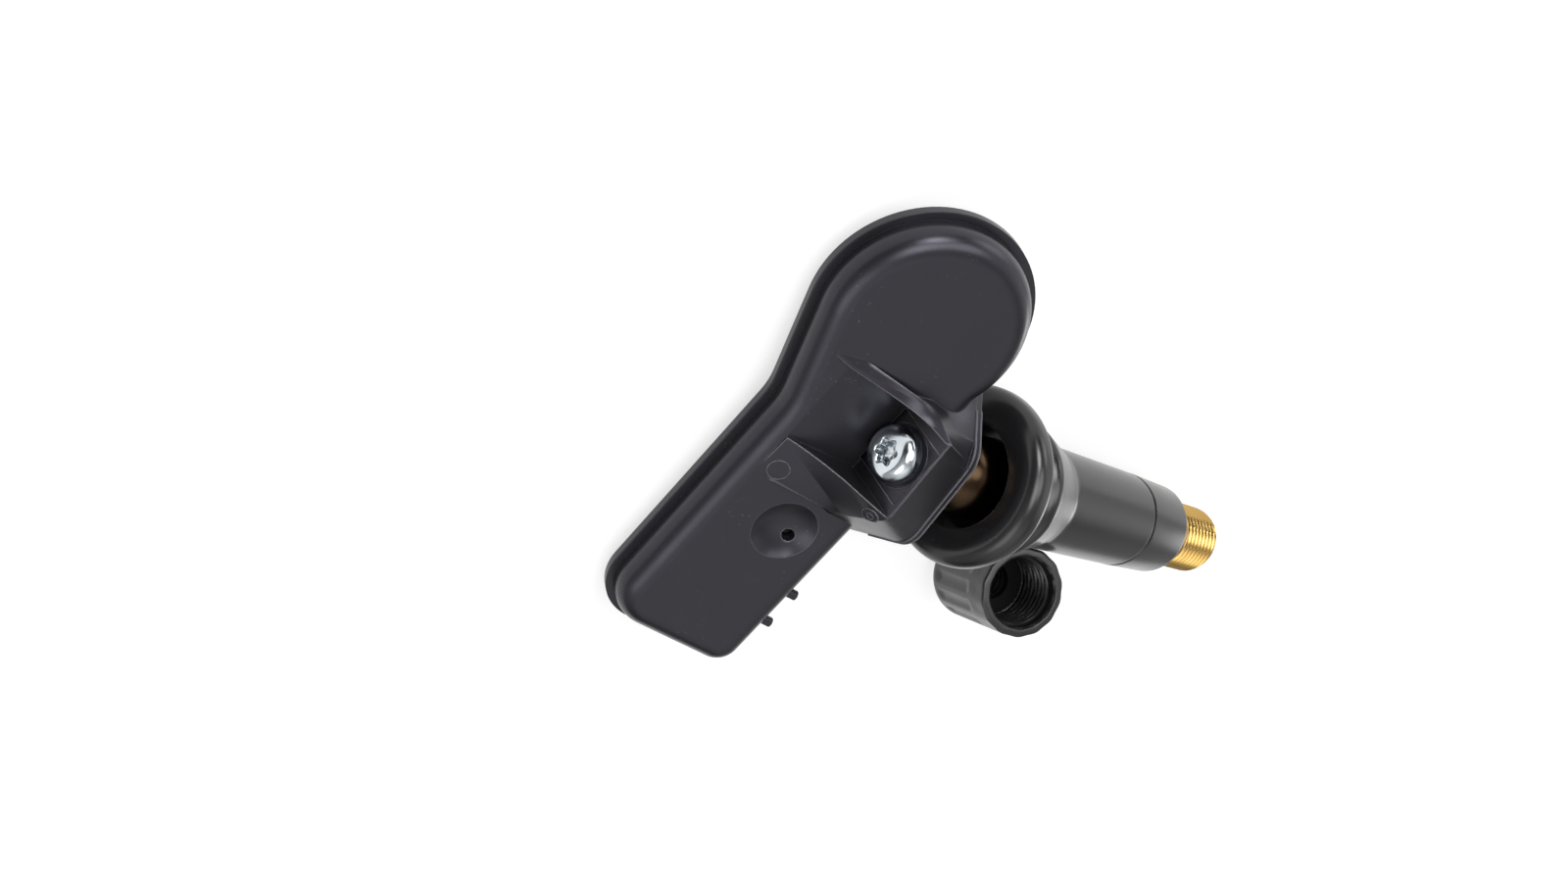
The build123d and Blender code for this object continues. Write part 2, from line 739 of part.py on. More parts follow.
# Transmitter loop standing on the board round the rectangular end
with BuildPart() as antenna_loop:
    with BuildSketch(body.offset(board_top)):
        add(outline.sketch)
        offset(amount=-board_step - loop_inset, mode=Mode.REPLACE)
        offset(amount=-loop_wall, mode=Mode.SUBTRACT)
        with Locations((0, loop_end + 0.5 * everywhere)):
            Rectangle(everywhere, everywhere, mode=Mode.SUBTRACT)
    extrude(amount=loop_height)
antenna_loop.part.label = "antenna_loop"
export_step(antenna_loop.part, "parts/antenna_loop.step")

with BuildPart() as chip_capacitors:
    with BuildSketch(body.offset(board_top)):
        with Locations(*capacitor_spots):
            Rectangle(capacitor_length, capacitor_width)
    extrude(amount=capacitor_height)
chip_capacitors.part.label = "chip_capacitors"
export_step(chip_capacitors.part, "parts/chip_capacitors.step")

# Coin cell in the round end
cell_low = tray_floor - tray_depth + tab_gap + tab_thickness
cell_top = cell_low + cell_height
cell_axis = Axis(body.from_local_coords((round_x, round_y, 0)), body.z_dir)
with BuildPart() as coin_cell:
    with BuildSketch(across_body(round_y)):
        with BuildLine():
            Polyline((round_x, cell_low), (round_x + cell_step_r, cell_low),
                     (round_x + cell_step_r, cell_low + cell_step), (round_x + cell_r, cell_low + cell_step),
                     (round_x + cell_r, cell_top - cell_round), (round_x + cell_r - cell_round, cell_top),
                     (round_x, cell_top), close=True)
        make_face()
    revolve(axis=cell_axis)
coin_cell.part.label = "coin_cell"
export_step(coin_cell.part, "parts/coin_cell.step")

# Welded tabs from the cell to the board
tab_end = board_end - tab_foot
with BuildPart() as cell_tab_plus:
    with BuildSketch(along_body(round_x)):
        with BuildLine():
            Polyline((round_y, cell_top), (round_y, cell_top + tab_thickness),
                     (tab_end, cell_top + tab_thickness), (tab_end, board_top),
                     (tab_end + tab_thickness, board_top), (tab_end + tab_thickness, cell_top), close=True)
        make_face()
    extrude(amount=0.5 * tab_width, both=True)
cell_tab_plus.part.label = "cell_tab_plus"
export_step(cell_tab_plus.part, "parts/cell_tab_plus.step")

with BuildPart() as cell_tab_minus:
    with BuildSketch(along_body(round_x)):
        with BuildLine():
            Polyline((round_y, cell_low), (round_y, cell_low - tab_thickness),
                     (tab_end, cell_low - tab_thickness), (tab_end, board_low),
                     (tab_end + tab_thickness, board_low), (tab_end + tab_thickness, cell_low), close=True)
        make_face()
    extrude(amount=0.5 * tab_width, both=True)
cell_tab_minus.part.label = "cell_tab_minus"
export_step(cell_tab_minus.part, "parts/cell_tab_minus.step")

# Dust cap: closed end on the table, rim against the sleeve
lean_way = Vector(cos(radians(cap_heading)), sin(radians(cap_heading)), 0)
cap_along = lean_way * sin(radians(cap_lean)) + Vector(0, 0, cos(radians(cap_lean)))
cap_down = lean_way * cos(radians(cap_lean)) - Vector(0, 0, sin(radians(cap_lean)))
cap_edge = Vector(cap_foot_x, cap_foot_y, table_level + cap_end_round)
cap_base = cap_edge - cap_along * cap_end_round - cap_down * (cap_r - cap_end_round)
cap_section = Plane(origin=cap_base, x_dir=cap_down, z_dir=cap_down.cross(cap_along))
cap_axis = Axis(cap_base, cap_along)
cap_ring = Plane(origin=cap_base, x_dir=cap_down, z_dir=cap_along)
bore_end = cap_length - cap_bore_depth
seat_end_wall = bore_end - cap_seal_height
with BuildPart() as valve_cap:
    with BuildSketch(cap_section):
        with BuildLine():
            Line((0, 0), (cap_r - cap_end_round, 0))
            RadiusArc((cap_r - cap_end_round, 0), (cap_r, cap_end_round), -cap_end_round)
            Line((cap_r, cap_end_round), (cap_r, cap_length - cap_mouth_round))
            RadiusArc((cap_r, cap_length - cap_mouth_round), (cap_r - cap_mouth_round, cap_length),
                      -cap_mouth_round)
            Polyline((cap_r - cap_mouth_round, cap_length), (cap_bore_r, cap_length), (cap_bore_r, bore_end),
                     (cap_seat_r, bore_end), (cap_seat_r, seat_end_wall), (cap_tip_r, seat_end_wall),
                     (cap_tip_r, cap_length - cap_tip_depth), (0, cap_length - cap_tip_depth), (0, 0))
        make_face()
    revolve(axis=cap_axis)
    # Grip flutes that stop short of the mouth
    with BuildSketch(cap_ring):
        with PolarLocations(cap_r + flute_r - flute_depth, cap_flutes):
            Circle(flute_r)
    extrude(amount=cap_length - flute_stop, mode=Mode.SUBTRACT)
valve_cap.part.label = "valve_cap"
export_step(valve_cap.part, "parts/valve_cap.step")

with BuildPart() as cap_seal:
    with BuildSketch(cap_ring.offset(seat_end_wall)):
        Circle(cap_seat_r - cap_seal_gap)
        Circle(cap_seal_hole_r, mode=Mode.SUBTRACT)
    extrude(amount=cap_seal_height)
cap_seal.part.label = "cap_seal"
export_step(cap_seal.part, "parts/cap_seal.step")
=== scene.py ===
import json
import logging
import math
from dataclasses import dataclass, field
from enum import Enum
from typing import Callable, Iterable, Sequence

import bmesh
import bpy
from mathutils import Matrix, Vector
from mathutils.bvhtree import BVHTree


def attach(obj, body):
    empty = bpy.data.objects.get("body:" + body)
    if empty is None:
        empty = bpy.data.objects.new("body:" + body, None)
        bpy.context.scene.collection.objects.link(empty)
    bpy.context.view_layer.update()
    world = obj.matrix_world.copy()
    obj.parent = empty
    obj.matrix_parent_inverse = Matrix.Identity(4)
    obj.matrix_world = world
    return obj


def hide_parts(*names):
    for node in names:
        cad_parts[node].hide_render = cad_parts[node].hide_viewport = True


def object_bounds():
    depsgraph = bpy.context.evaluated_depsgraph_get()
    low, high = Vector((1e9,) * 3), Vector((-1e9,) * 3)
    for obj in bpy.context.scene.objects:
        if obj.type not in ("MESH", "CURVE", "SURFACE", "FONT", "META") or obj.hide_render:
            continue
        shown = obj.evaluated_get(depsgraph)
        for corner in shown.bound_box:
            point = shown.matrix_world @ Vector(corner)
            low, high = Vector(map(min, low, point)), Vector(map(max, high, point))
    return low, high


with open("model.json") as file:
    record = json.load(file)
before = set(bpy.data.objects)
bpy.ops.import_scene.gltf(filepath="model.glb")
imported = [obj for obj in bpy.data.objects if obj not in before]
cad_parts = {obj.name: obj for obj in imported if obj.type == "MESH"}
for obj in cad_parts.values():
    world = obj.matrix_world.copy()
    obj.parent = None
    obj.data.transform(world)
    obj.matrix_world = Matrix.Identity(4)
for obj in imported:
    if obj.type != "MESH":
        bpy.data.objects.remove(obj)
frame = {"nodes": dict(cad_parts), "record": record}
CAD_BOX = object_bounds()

log = logging.getLogger("tyre_pressure_sensor")

MM = 0.001
UP = Vector((0.0, 0.0, 1.0))
Colour = tuple[float, float, float]
Point = tuple[float, float]
Socket = bpy.types.NodeSocket
Value = Socket | Vector | Colour | float


class Body(Enum):
    """The rigid body that pieces ride on."""

    SENSOR = "sensor"


class Surface(Enum):
    """The kinds of surface that a finish can be."""

    PLASTIC = "plastic"
    RUBBER = "rubber"
    METAL = "metal"
    LAMINATE = "laminate"


@dataclass(frozen=True)
class Placing:
    """A place in millimetres and three directions that a turned piece is built on."""

    origin: Vector
    along: Vector
    side: Vector

    @classmethod
    def on_mount(cls, name: str, length: float, side: Vector | None = None) -> "Placing":
        """Placing on the axis of one of the record's mounts.

        Args:
            name: Name of the mount.
            length: Millimetres along the axis from the placing's origin to the mount.
            side: Direction where angles start, or nothing for the lowest one.

        Returns:
            The placing.
        """
        mount = next(entry for entry in frame["record"]["mounts"] if entry["name"] == name)
        along = Vector(mount["axis"]).normalized()
        start = UP.cross(along).cross(along) if side is None else side
        return cls(Vector(mount["pos_m"]) / MM - along * length, along, start.normalized())

    @property
    def across(self) -> Vector:
        """Third direction, square to the other two."""
        return self.along.cross(self.side)

    def point(self, length: float, radius: float, angle: float) -> Vector:
        """Point at a length along the axis and a radius from it.

        Args:
            length: Distance along the axis in millimetres.
            radius: Distance from the axis in millimetres.
            angle: Turn about the axis in radians.

        Returns:
            The point in metres.
        """
        turn = self.side * math.cos(angle) + self.across * math.sin(angle)
        return (self.origin + self.along * length + turn * radius) * MM


HOUSING_ORIGIN = Vector((-4.58045, 0.04827, -1.26499))
HOUSING_X = Vector((0.97146, -0.00943, 0.23702))
HOUSING_Y = Vector((0.00344, 0.99966, 0.02568))
HOUSING_Z = Vector((-0.23718, -0.02414, 0.97117))
FLANGE_TO_RIM_SEAT = 5.1
CAP_END_TO_BORE = 8.95
STEM = Placing.on_mount("rim_seat", FLANGE_TO_RIM_SEAT, HOUSING_Y)
CAP = Placing.on_mount("cap_bore", CAP_END_TO_BORE)


def housing_point(x: float, y: float, z: float) -> Vector:
    """Point given in the housing's own directions.

    Args:
        x: Millimetres towards the valve.
        y: Millimetres towards the round end.
        z: Millimetres away from the cover.

    Returns:
        The point in metres.
    """
    return (HOUSING_ORIGIN + HOUSING_X * x + HOUSING_Y * y + HOUSING_Z * z) * MM


def share(value: float) -> float:
    """Keep a value between nought and one."""
    return min(1.0, max(0.0, value))


def new_piece(name: str, mesh: bmesh.types.BMesh, smooth_angle: float = 35.0) -> bpy.types.Object:
    """Turn a built mesh into a piece of the scene.

    Args:
        name: Name of the piece.
        mesh: The built mesh, which is freed.
        smooth_angle: Edges that bend more than this many degrees stay sharp.

    Returns:
        The new object.
    """
    bmesh.ops.recalc_face_normals(mesh, faces=mesh.faces)
    for face in mesh.faces:
        face.smooth = True
    limit = math.radians(smooth_angle)
    for edge in mesh.edges:
        edge.smooth = len(edge.link_faces) == 2 and edge.calc_face_angle(0.0) < limit
    data = bpy.data.meshes.new(name)
    mesh.to_mesh(data)
    mesh.free()
    piece = bpy.data.objects.new(name, data)
    bpy.context.scene.collection.objects.link(piece)
    return piece


def arc(start: Point, centre: Point, end: Point, steps: int) -> list[Point]:
    """Points of a circular arc about a centre, the shorter way round.

    Args:
        start: First point.
        centre: Centre of the arc.
        end: Last point.
        steps: Number of pieces the arc is divided into.

    Returns:
        The points, both ends included.
    """
    first = math.atan2(start[1] - centre[1], start[0] - centre[0])
    sweep = math.atan2(end[1] - centre[1], end[0] - centre[0]) - first
    sweep = (sweep + math.pi) % (2 * math.pi) - math.pi
    near = math.hypot(start[0] - centre[0], start[1] - centre[1])
    far = math.hypot(end[0] - centre[0], end[1] - centre[1])
    points = []
    for step in range(steps + 1):
        part = step / steps
        reach = near + (far - near) * part
        points.append((centre[0] + reach * math.cos(first + sweep * part),
                       centre[1] + reach * math.sin(first + sweep * part)))
    return points


def turned(mesh: bmesh.types.BMesh, placing: Placing, profile: Sequence[Point], segments: int,
           radius_at: Callable[[float, float, float], float] | None = None) -> None:
    """Add a closed surface of revolution to a mesh.

    Args:
        mesh: Mesh that takes the surface.
        placing: Axis of the piece.
        profile: Length and radius of each ring, as a closed loop unless its ends are on the axis.
        segments: Number of points round the axis.
        radius_at: Optional radius from length, plain radius and angle.
    """
    rings: list[list[bmesh.types.BMVert]] = []
    for length, radius in profile:
        if radius < 1e-6:
            rings.append([mesh.verts.new(placing.point(length, 0.0, 0.0))])
            continue
        ring = []
        for step in range(segments):
            angle = 2 * math.pi * step / segments
            reach = radius_at(length, radius, angle) if radius_at else radius
            ring.append(mesh.verts.new(placing.point(length, reach, angle)))
        rings.append(ring)
    closed = len(rings[0]) > 1 and len(rings[-1]) > 1
    pairs = list(zip(rings, rings[1:])) + ([(rings[-1], rings[0])] if closed else [])
    for low, high in pairs:
        for step in range(segments):
            after = (step + 1) % segments
            corners = [low[step % len(low)], low[after % len(low)],
                       high[after % len(high)], high[step % len(high)]]
            distinct = list(dict.fromkeys(corners))
            if len(distinct) > 2:
                mesh.faces.new(distinct)


def bridge(mesh: bmesh.types.BMesh, loops: Sequence[Sequence[bmesh.types.BMVert]]) -> None:
    """Join each loop of points to the next one with faces.

    Args:
        mesh: Mesh that takes the faces.
        loops: Closed loops with the same number of points.
    """
    for loop, after in zip(loops, loops[1:]):
        for step in range(len(loop)):
            other = (step + 1) % len(loop)
            mesh.faces.new((loop[step], after[step], after[other], loop[other]))


class Mixing(Enum):
    """Kinds of mix, with the places of the sockets for part, first, second and result."""

    RGBA = (0, 6, 7, 2)
    FLOAT = (0, 2, 3, 0)


class Graph:
    """A node tree with short ways to add nodes and join them."""

    def __init__(self, tree: bpy.types.NodeTree) -> None:
        """Take the tree to build in."""
        self.tree = tree

    def feed(self, target: Socket, value: Value) -> None:
        """Join a value to an input, or set it there where it is constant.

        Args:
            target: The input.
            value: Another node's output, or a constant.
        """
        if isinstance(value, Socket):
            self.tree.links.new(value, target)
        else:
            target.default_value = (*value, 1.0) if isinstance(value, tuple) else value

    def fill(self, inputs: bpy.types.NodeInputs, values: dict[str, Value]) -> None:
        """Feed several inputs by their names."""
        for label, value in values.items():
            self.feed(inputs[label], value)

    def node(self, kind: str, values: dict[str, Value] | None = None, **settings: object) -> bpy.types.Node:
        """Add a node.

        Args:
            kind: Kind of node, without the words that all kinds start with.
            values: What its inputs are fed with, by name.
            settings: Properties of the node.

        Returns:
            The new node.
        """
        node = self.tree.nodes.new("ShaderNode" + kind)
        for label, value in settings.items():
            setattr(node, label, value)
        self.fill(node.inputs, values or {})
        return node

    def group(self, tree: bpy.types.NodeTree, **values: Value) -> bpy.types.NodeOutputs:
        """Place a shared effect, with those inputs that differ from their defaults."""
        return self.node("Group", values, node_tree=tree).outputs

    def math(self, operation: str, first: Value, second: Value, kind: str = "Math") -> Socket:
        """Work out one value from two.

        Args:
            operation: What to do with them.
            first: First value.
            second: Second value.
            kind: Kind of node that does it.

        Returns:
            The result.
        """
        node = self.node(kind, operation=operation)
        self.feed(node.inputs[0], first)
        self.feed(node.inputs[1], second)
        return node.outputs["Value"]

    def dot(self, first: Value, second: Value) -> Socket:
        """Length of one vector along another."""
        return self.math("DOT_PRODUCT", first, second, "VectorMath")

    def ramp(self, value: Socket, ends: Point, low: float = 0.0, high: float = 1.0,
             interpolation: str = "LINEAR") -> Socket:
        """Map a range of a value to another range, without going past its ends.

        Args:
            value: The value.
            ends: Where the result is low and where it is high.
            low: The low result.
            high: The high result.
            interpolation: How the result runs between its ends.

        Returns:
            The mapped value.
        """
        values = {"Value": value, "From Min": ends[0], "From Max": ends[1], "To Min": low, "To Max": high}
        return self.node("MapRange", values, interpolation_type=interpolation).outputs["Result"]

    def noise(self, **values: Value) -> Socket:
        """Soft noise in space from nought to one, with its inputs by name."""
        return self.node("TexNoise", values).outputs["Fac"]

    def openness(self, reach: Value, samples: int) -> Socket:
        """How open the surface is within a reach, from nought in a slit to one in the open."""
        node = self.node("AmbientOcclusion", {"Distance": reach}, samples=samples, only_local=True)
        return node.outputs["AO"]

    def mix(self, first: Value, second: Value, part: Value, kind: Mixing = Mixing.RGBA) -> Socket:
        """Mix two colours or two values.

        Args:
            first: What counts where the part is nought.
            second: What counts where the part is one.
            part: Weight of the second.
            kind: Whether colours or values are mixed.

        Returns:
            The mixture.
        """
        node = self.node("Mix", data_type=kind.name)
        *places, result = kind.value
        for place, value in zip(places, (part, first, second)):
            self.feed(node.inputs[place], value)
        return node.outputs[result]


@dataclass
class NodeGroups:
    """Shared surface effects, each built once as a shader node group. Lengths are in metres."""

    edge_radius: float = 0.0003
    edge_bend: Point = (0.995, 0.8)
    edge_reach: float = 2.5
    edge_open: Point = (0.78, 0.95)
    bevel_samples: int = 6
    open_samples: int = 4
    grain_scale: float = 9000.0
    grain_detail: float = 3.0
    grain_roughness: float = 0.6
    cloud_scale: float = 260.0
    cloud_detail: float = 4.0
    speck_scale: float = 1400.0
    speck_amount: float = 0.5
    speck_ends: Point = (0.16, 0.05)
    patch_scale: float = 180.0
    patch_detail: float = 3.0
    patch_ends: Point = (0.52, 0.72)
    # Reach of the painted shade in grooves, and how far along the stem its inner end is shaded.
    crevice_reach: float = 0.0005
    crevice_open: Point = (0.85, 0.4)
    shade_until: float = 0.012
    ring_scale: float = 6000.0
    ring_detail: float = 2.0

    def __post_init__(self) -> None:
        """Build every group."""
        self.soft_edge = self._soft_edge()
        self.grain = self._grain()
        self.dust = self._dust()
        self.lathe = self._lathe()
        self.crevice_shade = self._crevice_shade()
        self.hollow_shade = self._hollow_shade()

    @staticmethod
    def _start(name: str, inputs: dict[str, float], *values: str,
               vectors: Sequence[str] = ()) -> tuple[Graph, bpy.types.NodeOutputs, bpy.types.NodeInputs]:
        """Open a node group.

        Args:
            name: Name of the group.
            inputs: Float inputs with their defaults.
            values: Names of the outputs that are values.
            vectors: Names of the outputs that are vectors.

        Returns:
            The group's graph, what it is given and what it gives out.
        """
        tree = bpy.data.node_groups.new(name, "ShaderNodeTree")
        for label, value in inputs.items():
            socket = tree.interface.new_socket(label, in_out="INPUT", socket_type="NodeSocketFloat")
            socket.default_value = value
        for kind, labels in (("NodeSocketVector", vectors), ("NodeSocketFloat", values)):
            for label in labels:
                tree.interface.new_socket(label, in_out="OUTPUT", socket_type=kind)
        return Graph(tree), tree.nodes.new("NodeGroupInput").outputs, tree.nodes.new("NodeGroupOutput").inputs

    def _soft_edge(self) -> bpy.types.NodeTree:
        """Build the group that rounds hard edges in shading and marks the outer ones.

        Returns:
            The group.
        """
        inputs = {"Radius": self.edge_radius}
        graph, given, out = self._start("soft_edge", inputs, "Edge", vectors=("Normal",))
        bevel = graph.node("Bevel", {"Radius": given["Radius"]}, samples=self.bevel_samples).outputs["Normal"]
        edge = graph.ramp(graph.dot(bevel, graph.node("NewGeometry").outputs["Normal"]), self.edge_bend)
        reach = graph.math("MULTIPLY", given["Radius"], self.edge_reach)
        outer = graph.ramp(graph.openness(reach, self.open_samples), self.edge_open)
        graph.fill(out, {"Normal": bevel, "Edge": graph.math("MULTIPLY", edge, outer)})
        return graph.tree

    def _grain(self) -> bpy.types.NodeTree:
        """Build the group with the fine grain of a moulded surface and the clouds in its tone.

        Returns:
            The group.
        """
        inputs = {"Scale": self.grain_scale, "Cloud": self.cloud_scale}
        graph, given, out = self._start("mould_grain", inputs, "Height", "Cloud")
        place = graph.node("TexCoord").outputs["Object"]
        fine = {"Scale": given["Scale"], "Detail": self.grain_detail, "Roughness": self.grain_roughness}
        cloud = {"Scale": given["Cloud"], "Detail": self.cloud_detail}
        graph.fill(out, {"Height": graph.noise(Vector=place, **fine),
                         "Cloud": graph.noise(Vector=place, **cloud)})
        return graph.tree

    def _dust(self) -> bpy.types.NodeTree:
        """Build the group with sparse specks of dust that lie in patches.

        Returns:
            The group.
        """
        inputs = {"Specks": self.speck_scale, "Amount": self.speck_amount}
        graph, given, out = self._start("dust_specks", inputs, "Mask")
        place = graph.node("TexCoord").outputs["Object"]
        cells = graph.node("TexVoronoi", {"Vector": place, "Scale": given["Specks"]})
        near = graph.ramp(cells.outputs["Distance"], self.speck_ends)
        noise = graph.noise(Vector=place, Scale=self.patch_scale, Detail=self.patch_detail)
        patch = graph.ramp(noise, self.patch_ends)
        specks = graph.math("MULTIPLY", near, patch)
        graph.feed(out["Mask"], graph.math("MULTIPLY", specks, given["Amount"]))
        return graph.tree

    def _crevice_shade(self) -> bpy.types.NodeTree:
        """Build the group that marks narrow grooves and hollows, where a darker colour is laid as painted
        shade.

        Returns:
            The group.
        """
        graph, given, out = self._start("crevice_shade", {"Reach": self.crevice_reach}, "Mask")
        opened = graph.openness(given["Reach"], self.open_samples)
        graph.feed(out["Mask"], graph.ramp(opened, self.crevice_open))
        return graph.tree

    def _hollow_shade(self) -> bpy.types.NodeTree:
        """Build the group that marks the stem's inner end, which stands in the rubber's hollow, for the
        painted shade there.

        Returns:
            The group.
        """
        graph, given, out = self._start("stem_hollow_shade", {"Shade until": self.shade_until}, "Mask")
        length = graph.dot(graph.node("TexCoord").outputs["Object"], STEM.along)
        from_flange = graph.math("SUBTRACT", length, STEM.origin.dot(STEM.along) * MM)
        graph.feed(out["Mask"], graph.math("LESS_THAN", from_flange, given["Shade until"]))
        return graph.tree

    def _lathe(self) -> bpy.types.NodeTree:
        """Build the group with the fine rings that turning or moulding leaves round the stem.

        Returns:
            The group.
        """
        graph, given, out = self._start("lathe_rings", {"Scale": self.ring_scale}, "Rings")
        length = graph.dot(graph.node("TexCoord").outputs["Object"], STEM.along)
        values = {"W": length, "Scale": given["Scale"], "Detail": self.ring_detail}
        graph.feed(out["Rings"], graph.node("TexNoise", values, noise_dimensions="1D").outputs["Fac"])
        return graph.tree


@dataclass(frozen=True)
class Finish:
    """A procedural surface finish. Lengths are in metres."""

    name: str
    surface: Surface
    colour: Colour
    # Lighter colour on outer edges: wear, and where strong a painted highlight.
    wear_and_highlight: Colour
    roughness: float
    roughness_spread: float = 0.08
    cloud_shade: float = 0.72
    grain_scale: float = 9000.0
    grain_depth: float = 0.000004
    grain_strength: float = 0.12
    edge_radius: float = 0.0003
    # Weight of the lighter edge colour: wear, and on the housing a painted highlight.
    edge_wear_and_highlight: float = 0.25
    dust: float = 0.2
    dust_colour: Colour = (0.4, 0.39, 0.37)
    specular: float = 0.5
    specular_tint: Colour = (1.0, 1.0, 1.0)
    sheen: float = 0.0
    sheen_roughness: float = 0.3
    rings: float = 0.0
    # Painted shade in narrow grooves and hollows, and on the stem's inner end.
    crevice_shade: float = 0.0
    crevice_reach: float = 0.0005
    crevice_shade_colour: Colour = (0.004, 0.004, 0.005)
    hollow_shade: float = 0.0
    hollow_shade_colour: Colour = (0.05, 0.031, 0.018)

    def make(self, groups: NodeGroups) -> bpy.types.Material:
        """Build the finish as a material.

        Args:
            groups: The shared surface effects.

        Returns:
            The new material.
        """
        material = bpy.data.materials.new(self.name)
        material.use_nodes = True
        graph = Graph(material.node_tree)
        edge = graph.group(groups.soft_edge, Radius=self.edge_radius)
        grain = graph.group(groups.grain, Scale=self.grain_scale)
        smooth, rough = self.roughness - self.roughness_spread, self.roughness + self.roughness_spread
        height = grain["Height"]
        if self.rings > 0.0:
            height = graph.mix(height, graph.group(groups.lathe)["Rings"], self.rings, Mixing.FLOAT)
        bump = graph.node("Bump", {"Strength": self.grain_strength, "Distance": self.grain_depth,
                                   "Height": height, "Normal": edge["Normal"]})
        graph.fill(graph.tree.nodes["Principled BSDF"].inputs, {
            "Base Color": self._tone(graph, groups, grain["Cloud"], edge["Edge"]),
            "Metallic": 1.0 if self.surface is Surface.METAL else 0.0,
            "Roughness": graph.ramp(grain["Cloud"], (0.0, 1.0), smooth, rough),
            "Normal": bump.outputs["Normal"],
            "Specular IOR Level": self.specular,
            "Specular Tint": self.specular_tint,
            "Sheen Weight": self.sheen,
            "Sheen Roughness": self.sheen_roughness})
        return material

    def _tone(self, graph: Graph, groups: NodeGroups, cloud: Socket, edge: Socket) -> Socket:
        """Lay clouds, edge wear with painted highlight, painted shade in grooves and on the stem's inner end,
        and dust over the plain colour.

        Args:
            graph: The material's graph.
            groups: The shared surface effects.
            cloud: The clouds in the tone.
            edge: The mark of the outer edges.

        Returns:
            The colour.
        """
        dim = tuple(self.cloud_shade * part for part in self.colour)
        tone = graph.mix(self.colour, dim, cloud)
        # Lighter colour on outer edges: wear, and on the housing's crests a painted highlight.
        tone = graph.mix(tone, self.wear_and_highlight, graph.math("MULTIPLY", edge, self.edge_wear_and_highlight))
        # Painted shade: a darker colour in narrow grooves and hollows.
        if self.crevice_shade > 0.0:
            groove = graph.group(groups.crevice_shade, Reach=self.crevice_reach)["Mask"]
            tone = graph.mix(tone, self.crevice_shade_colour, graph.math("MULTIPLY", groove, self.crevice_shade))
        # Painted shade on the stem's inner end inside the rubber's hollow.
        if self.hollow_shade > 0.0:
            inner = graph.group(groups.hollow_shade)["Mask"]
            tone = graph.mix(tone, self.hollow_shade_colour, graph.math("MULTIPLY", inner, self.hollow_shade))
        return graph.mix(tone, self.dust_colour, graph.group(groups.dust, Amount=self.dust)["Mask"])


FINISHES: dict[str, Finish] = {
    # The housing's strong lighter edge colour is a painted highlight along its crests and ridges.
    "housing_plastic": Finish("charcoal_moulding", Surface.PLASTIC, (0.0132, 0.0127, 0.0152),
                              (0.24, 0.236, 0.25), 0.3, grain_scale=6000.0, grain_depth=0.000007,
                              grain_strength=0.3, edge_radius=0.00024, edge_wear_and_highlight=0.85,
                              specular_tint=(0.88, 0.85, 1.0)),
    "cover_plastic": Finish("cover_moulding", Surface.PLASTIC, (0.0112, 0.0108, 0.013), (0.05, 0.048, 0.052),
                            0.33, edge_radius=0.0002, specular_tint=(0.9, 0.88, 1.0)),
    "valve_rubber": Finish("valve_rubber", Surface.RUBBER, (0.0145, 0.0142, 0.0155), (0.05, 0.049, 0.052),
                           0.23, roughness_spread=0.04, grain_scale=5000.0, grain_strength=0.06, rings=0.3,
                           sheen=0.12, edge_radius=0.0002, edge_wear_and_highlight=0.1, dust=0.1),
    # Painted shade: darker brown in the thread's grooves and on the inner end that stands in the rubber's
    # hollow.
    "stem_brass": Finish("turned_brass", Surface.METAL, (0.62, 0.395, 0.12), (0.82, 0.6, 0.28), 0.2,
                         dust=0.0, edge_radius=0.00006, crevice_shade=1.0, crevice_shade_colour=(0.12, 0.055, 0.012),
                         hollow_shade=1.0),
    # Painted shade: the six-lobe recess is darkened.
    "screw_zinc": Finish("bright_zinc", Surface.METAL, (0.7, 0.755, 0.79), (0.92, 0.94, 0.95), 0.16,
                         dust=0.0, edge_radius=0.0001, crevice_shade=0.75, crevice_reach=0.0009,
                         crevice_shade_colour=(0.1, 0.11, 0.12)),
    # Painted shade: the cap's inside is darkened by a long-reach groove mask.
    "cap_plastic": Finish("cap_moulding", Surface.PLASTIC, (0.0165, 0.0159, 0.017), (0.07, 0.068, 0.068),
                          0.27, edge_radius=0.0002, edge_wear_and_highlight=0.35, dust=0.1, crevice_shade=0.9,
                          crevice_reach=0.004),
    # Near-black: black rubber made darker still, as painted shade inside the cap.
    "seal_rubber": Finish("seal_rubber", Surface.RUBBER, (0.004, 0.004, 0.004), (0.01, 0.01, 0.01), 0.8,
                          dust=0.0, specular=0.15, edge_radius=0.0001),
    "pin_steel": Finish("pin_wire", Surface.METAL, (0.66, 0.62, 0.52), (0.8, 0.78, 0.7), 0.3, rings=0.4,
                        dust=0.0, edge_radius=0.00008),
    "board_laminate": Finish("board_mask", Surface.LAMINATE, (0.012, 0.085, 0.03), (0.5, 0.4, 0.15), 0.35,
                             edge_radius=0.0001),
    "chip_black": Finish("chip_package", Surface.PLASTIC, (0.02, 0.02, 0.02), (0.06, 0.06, 0.06), 0.5,
                         edge_radius=0.0001),
    "can_steel": Finish("nickel_can", Surface.METAL, (0.70, 0.69, 0.66), (0.85, 0.85, 0.83), 0.25,
                        edge_radius=0.0001, dust=0.0),
    "copper": Finish("enamelled_copper", Surface.METAL, (0.72, 0.32, 0.16), (0.85, 0.5, 0.3), 0.3,
                     edge_radius=0.00008, dust=0.0),
    "ceramic": Finish("capacitor_ceramic", Surface.PLASTIC, (0.45, 0.33, 0.2), (0.7, 0.68, 0.64), 0.45,
                      edge_radius=0.00008, dust=0.0),
}


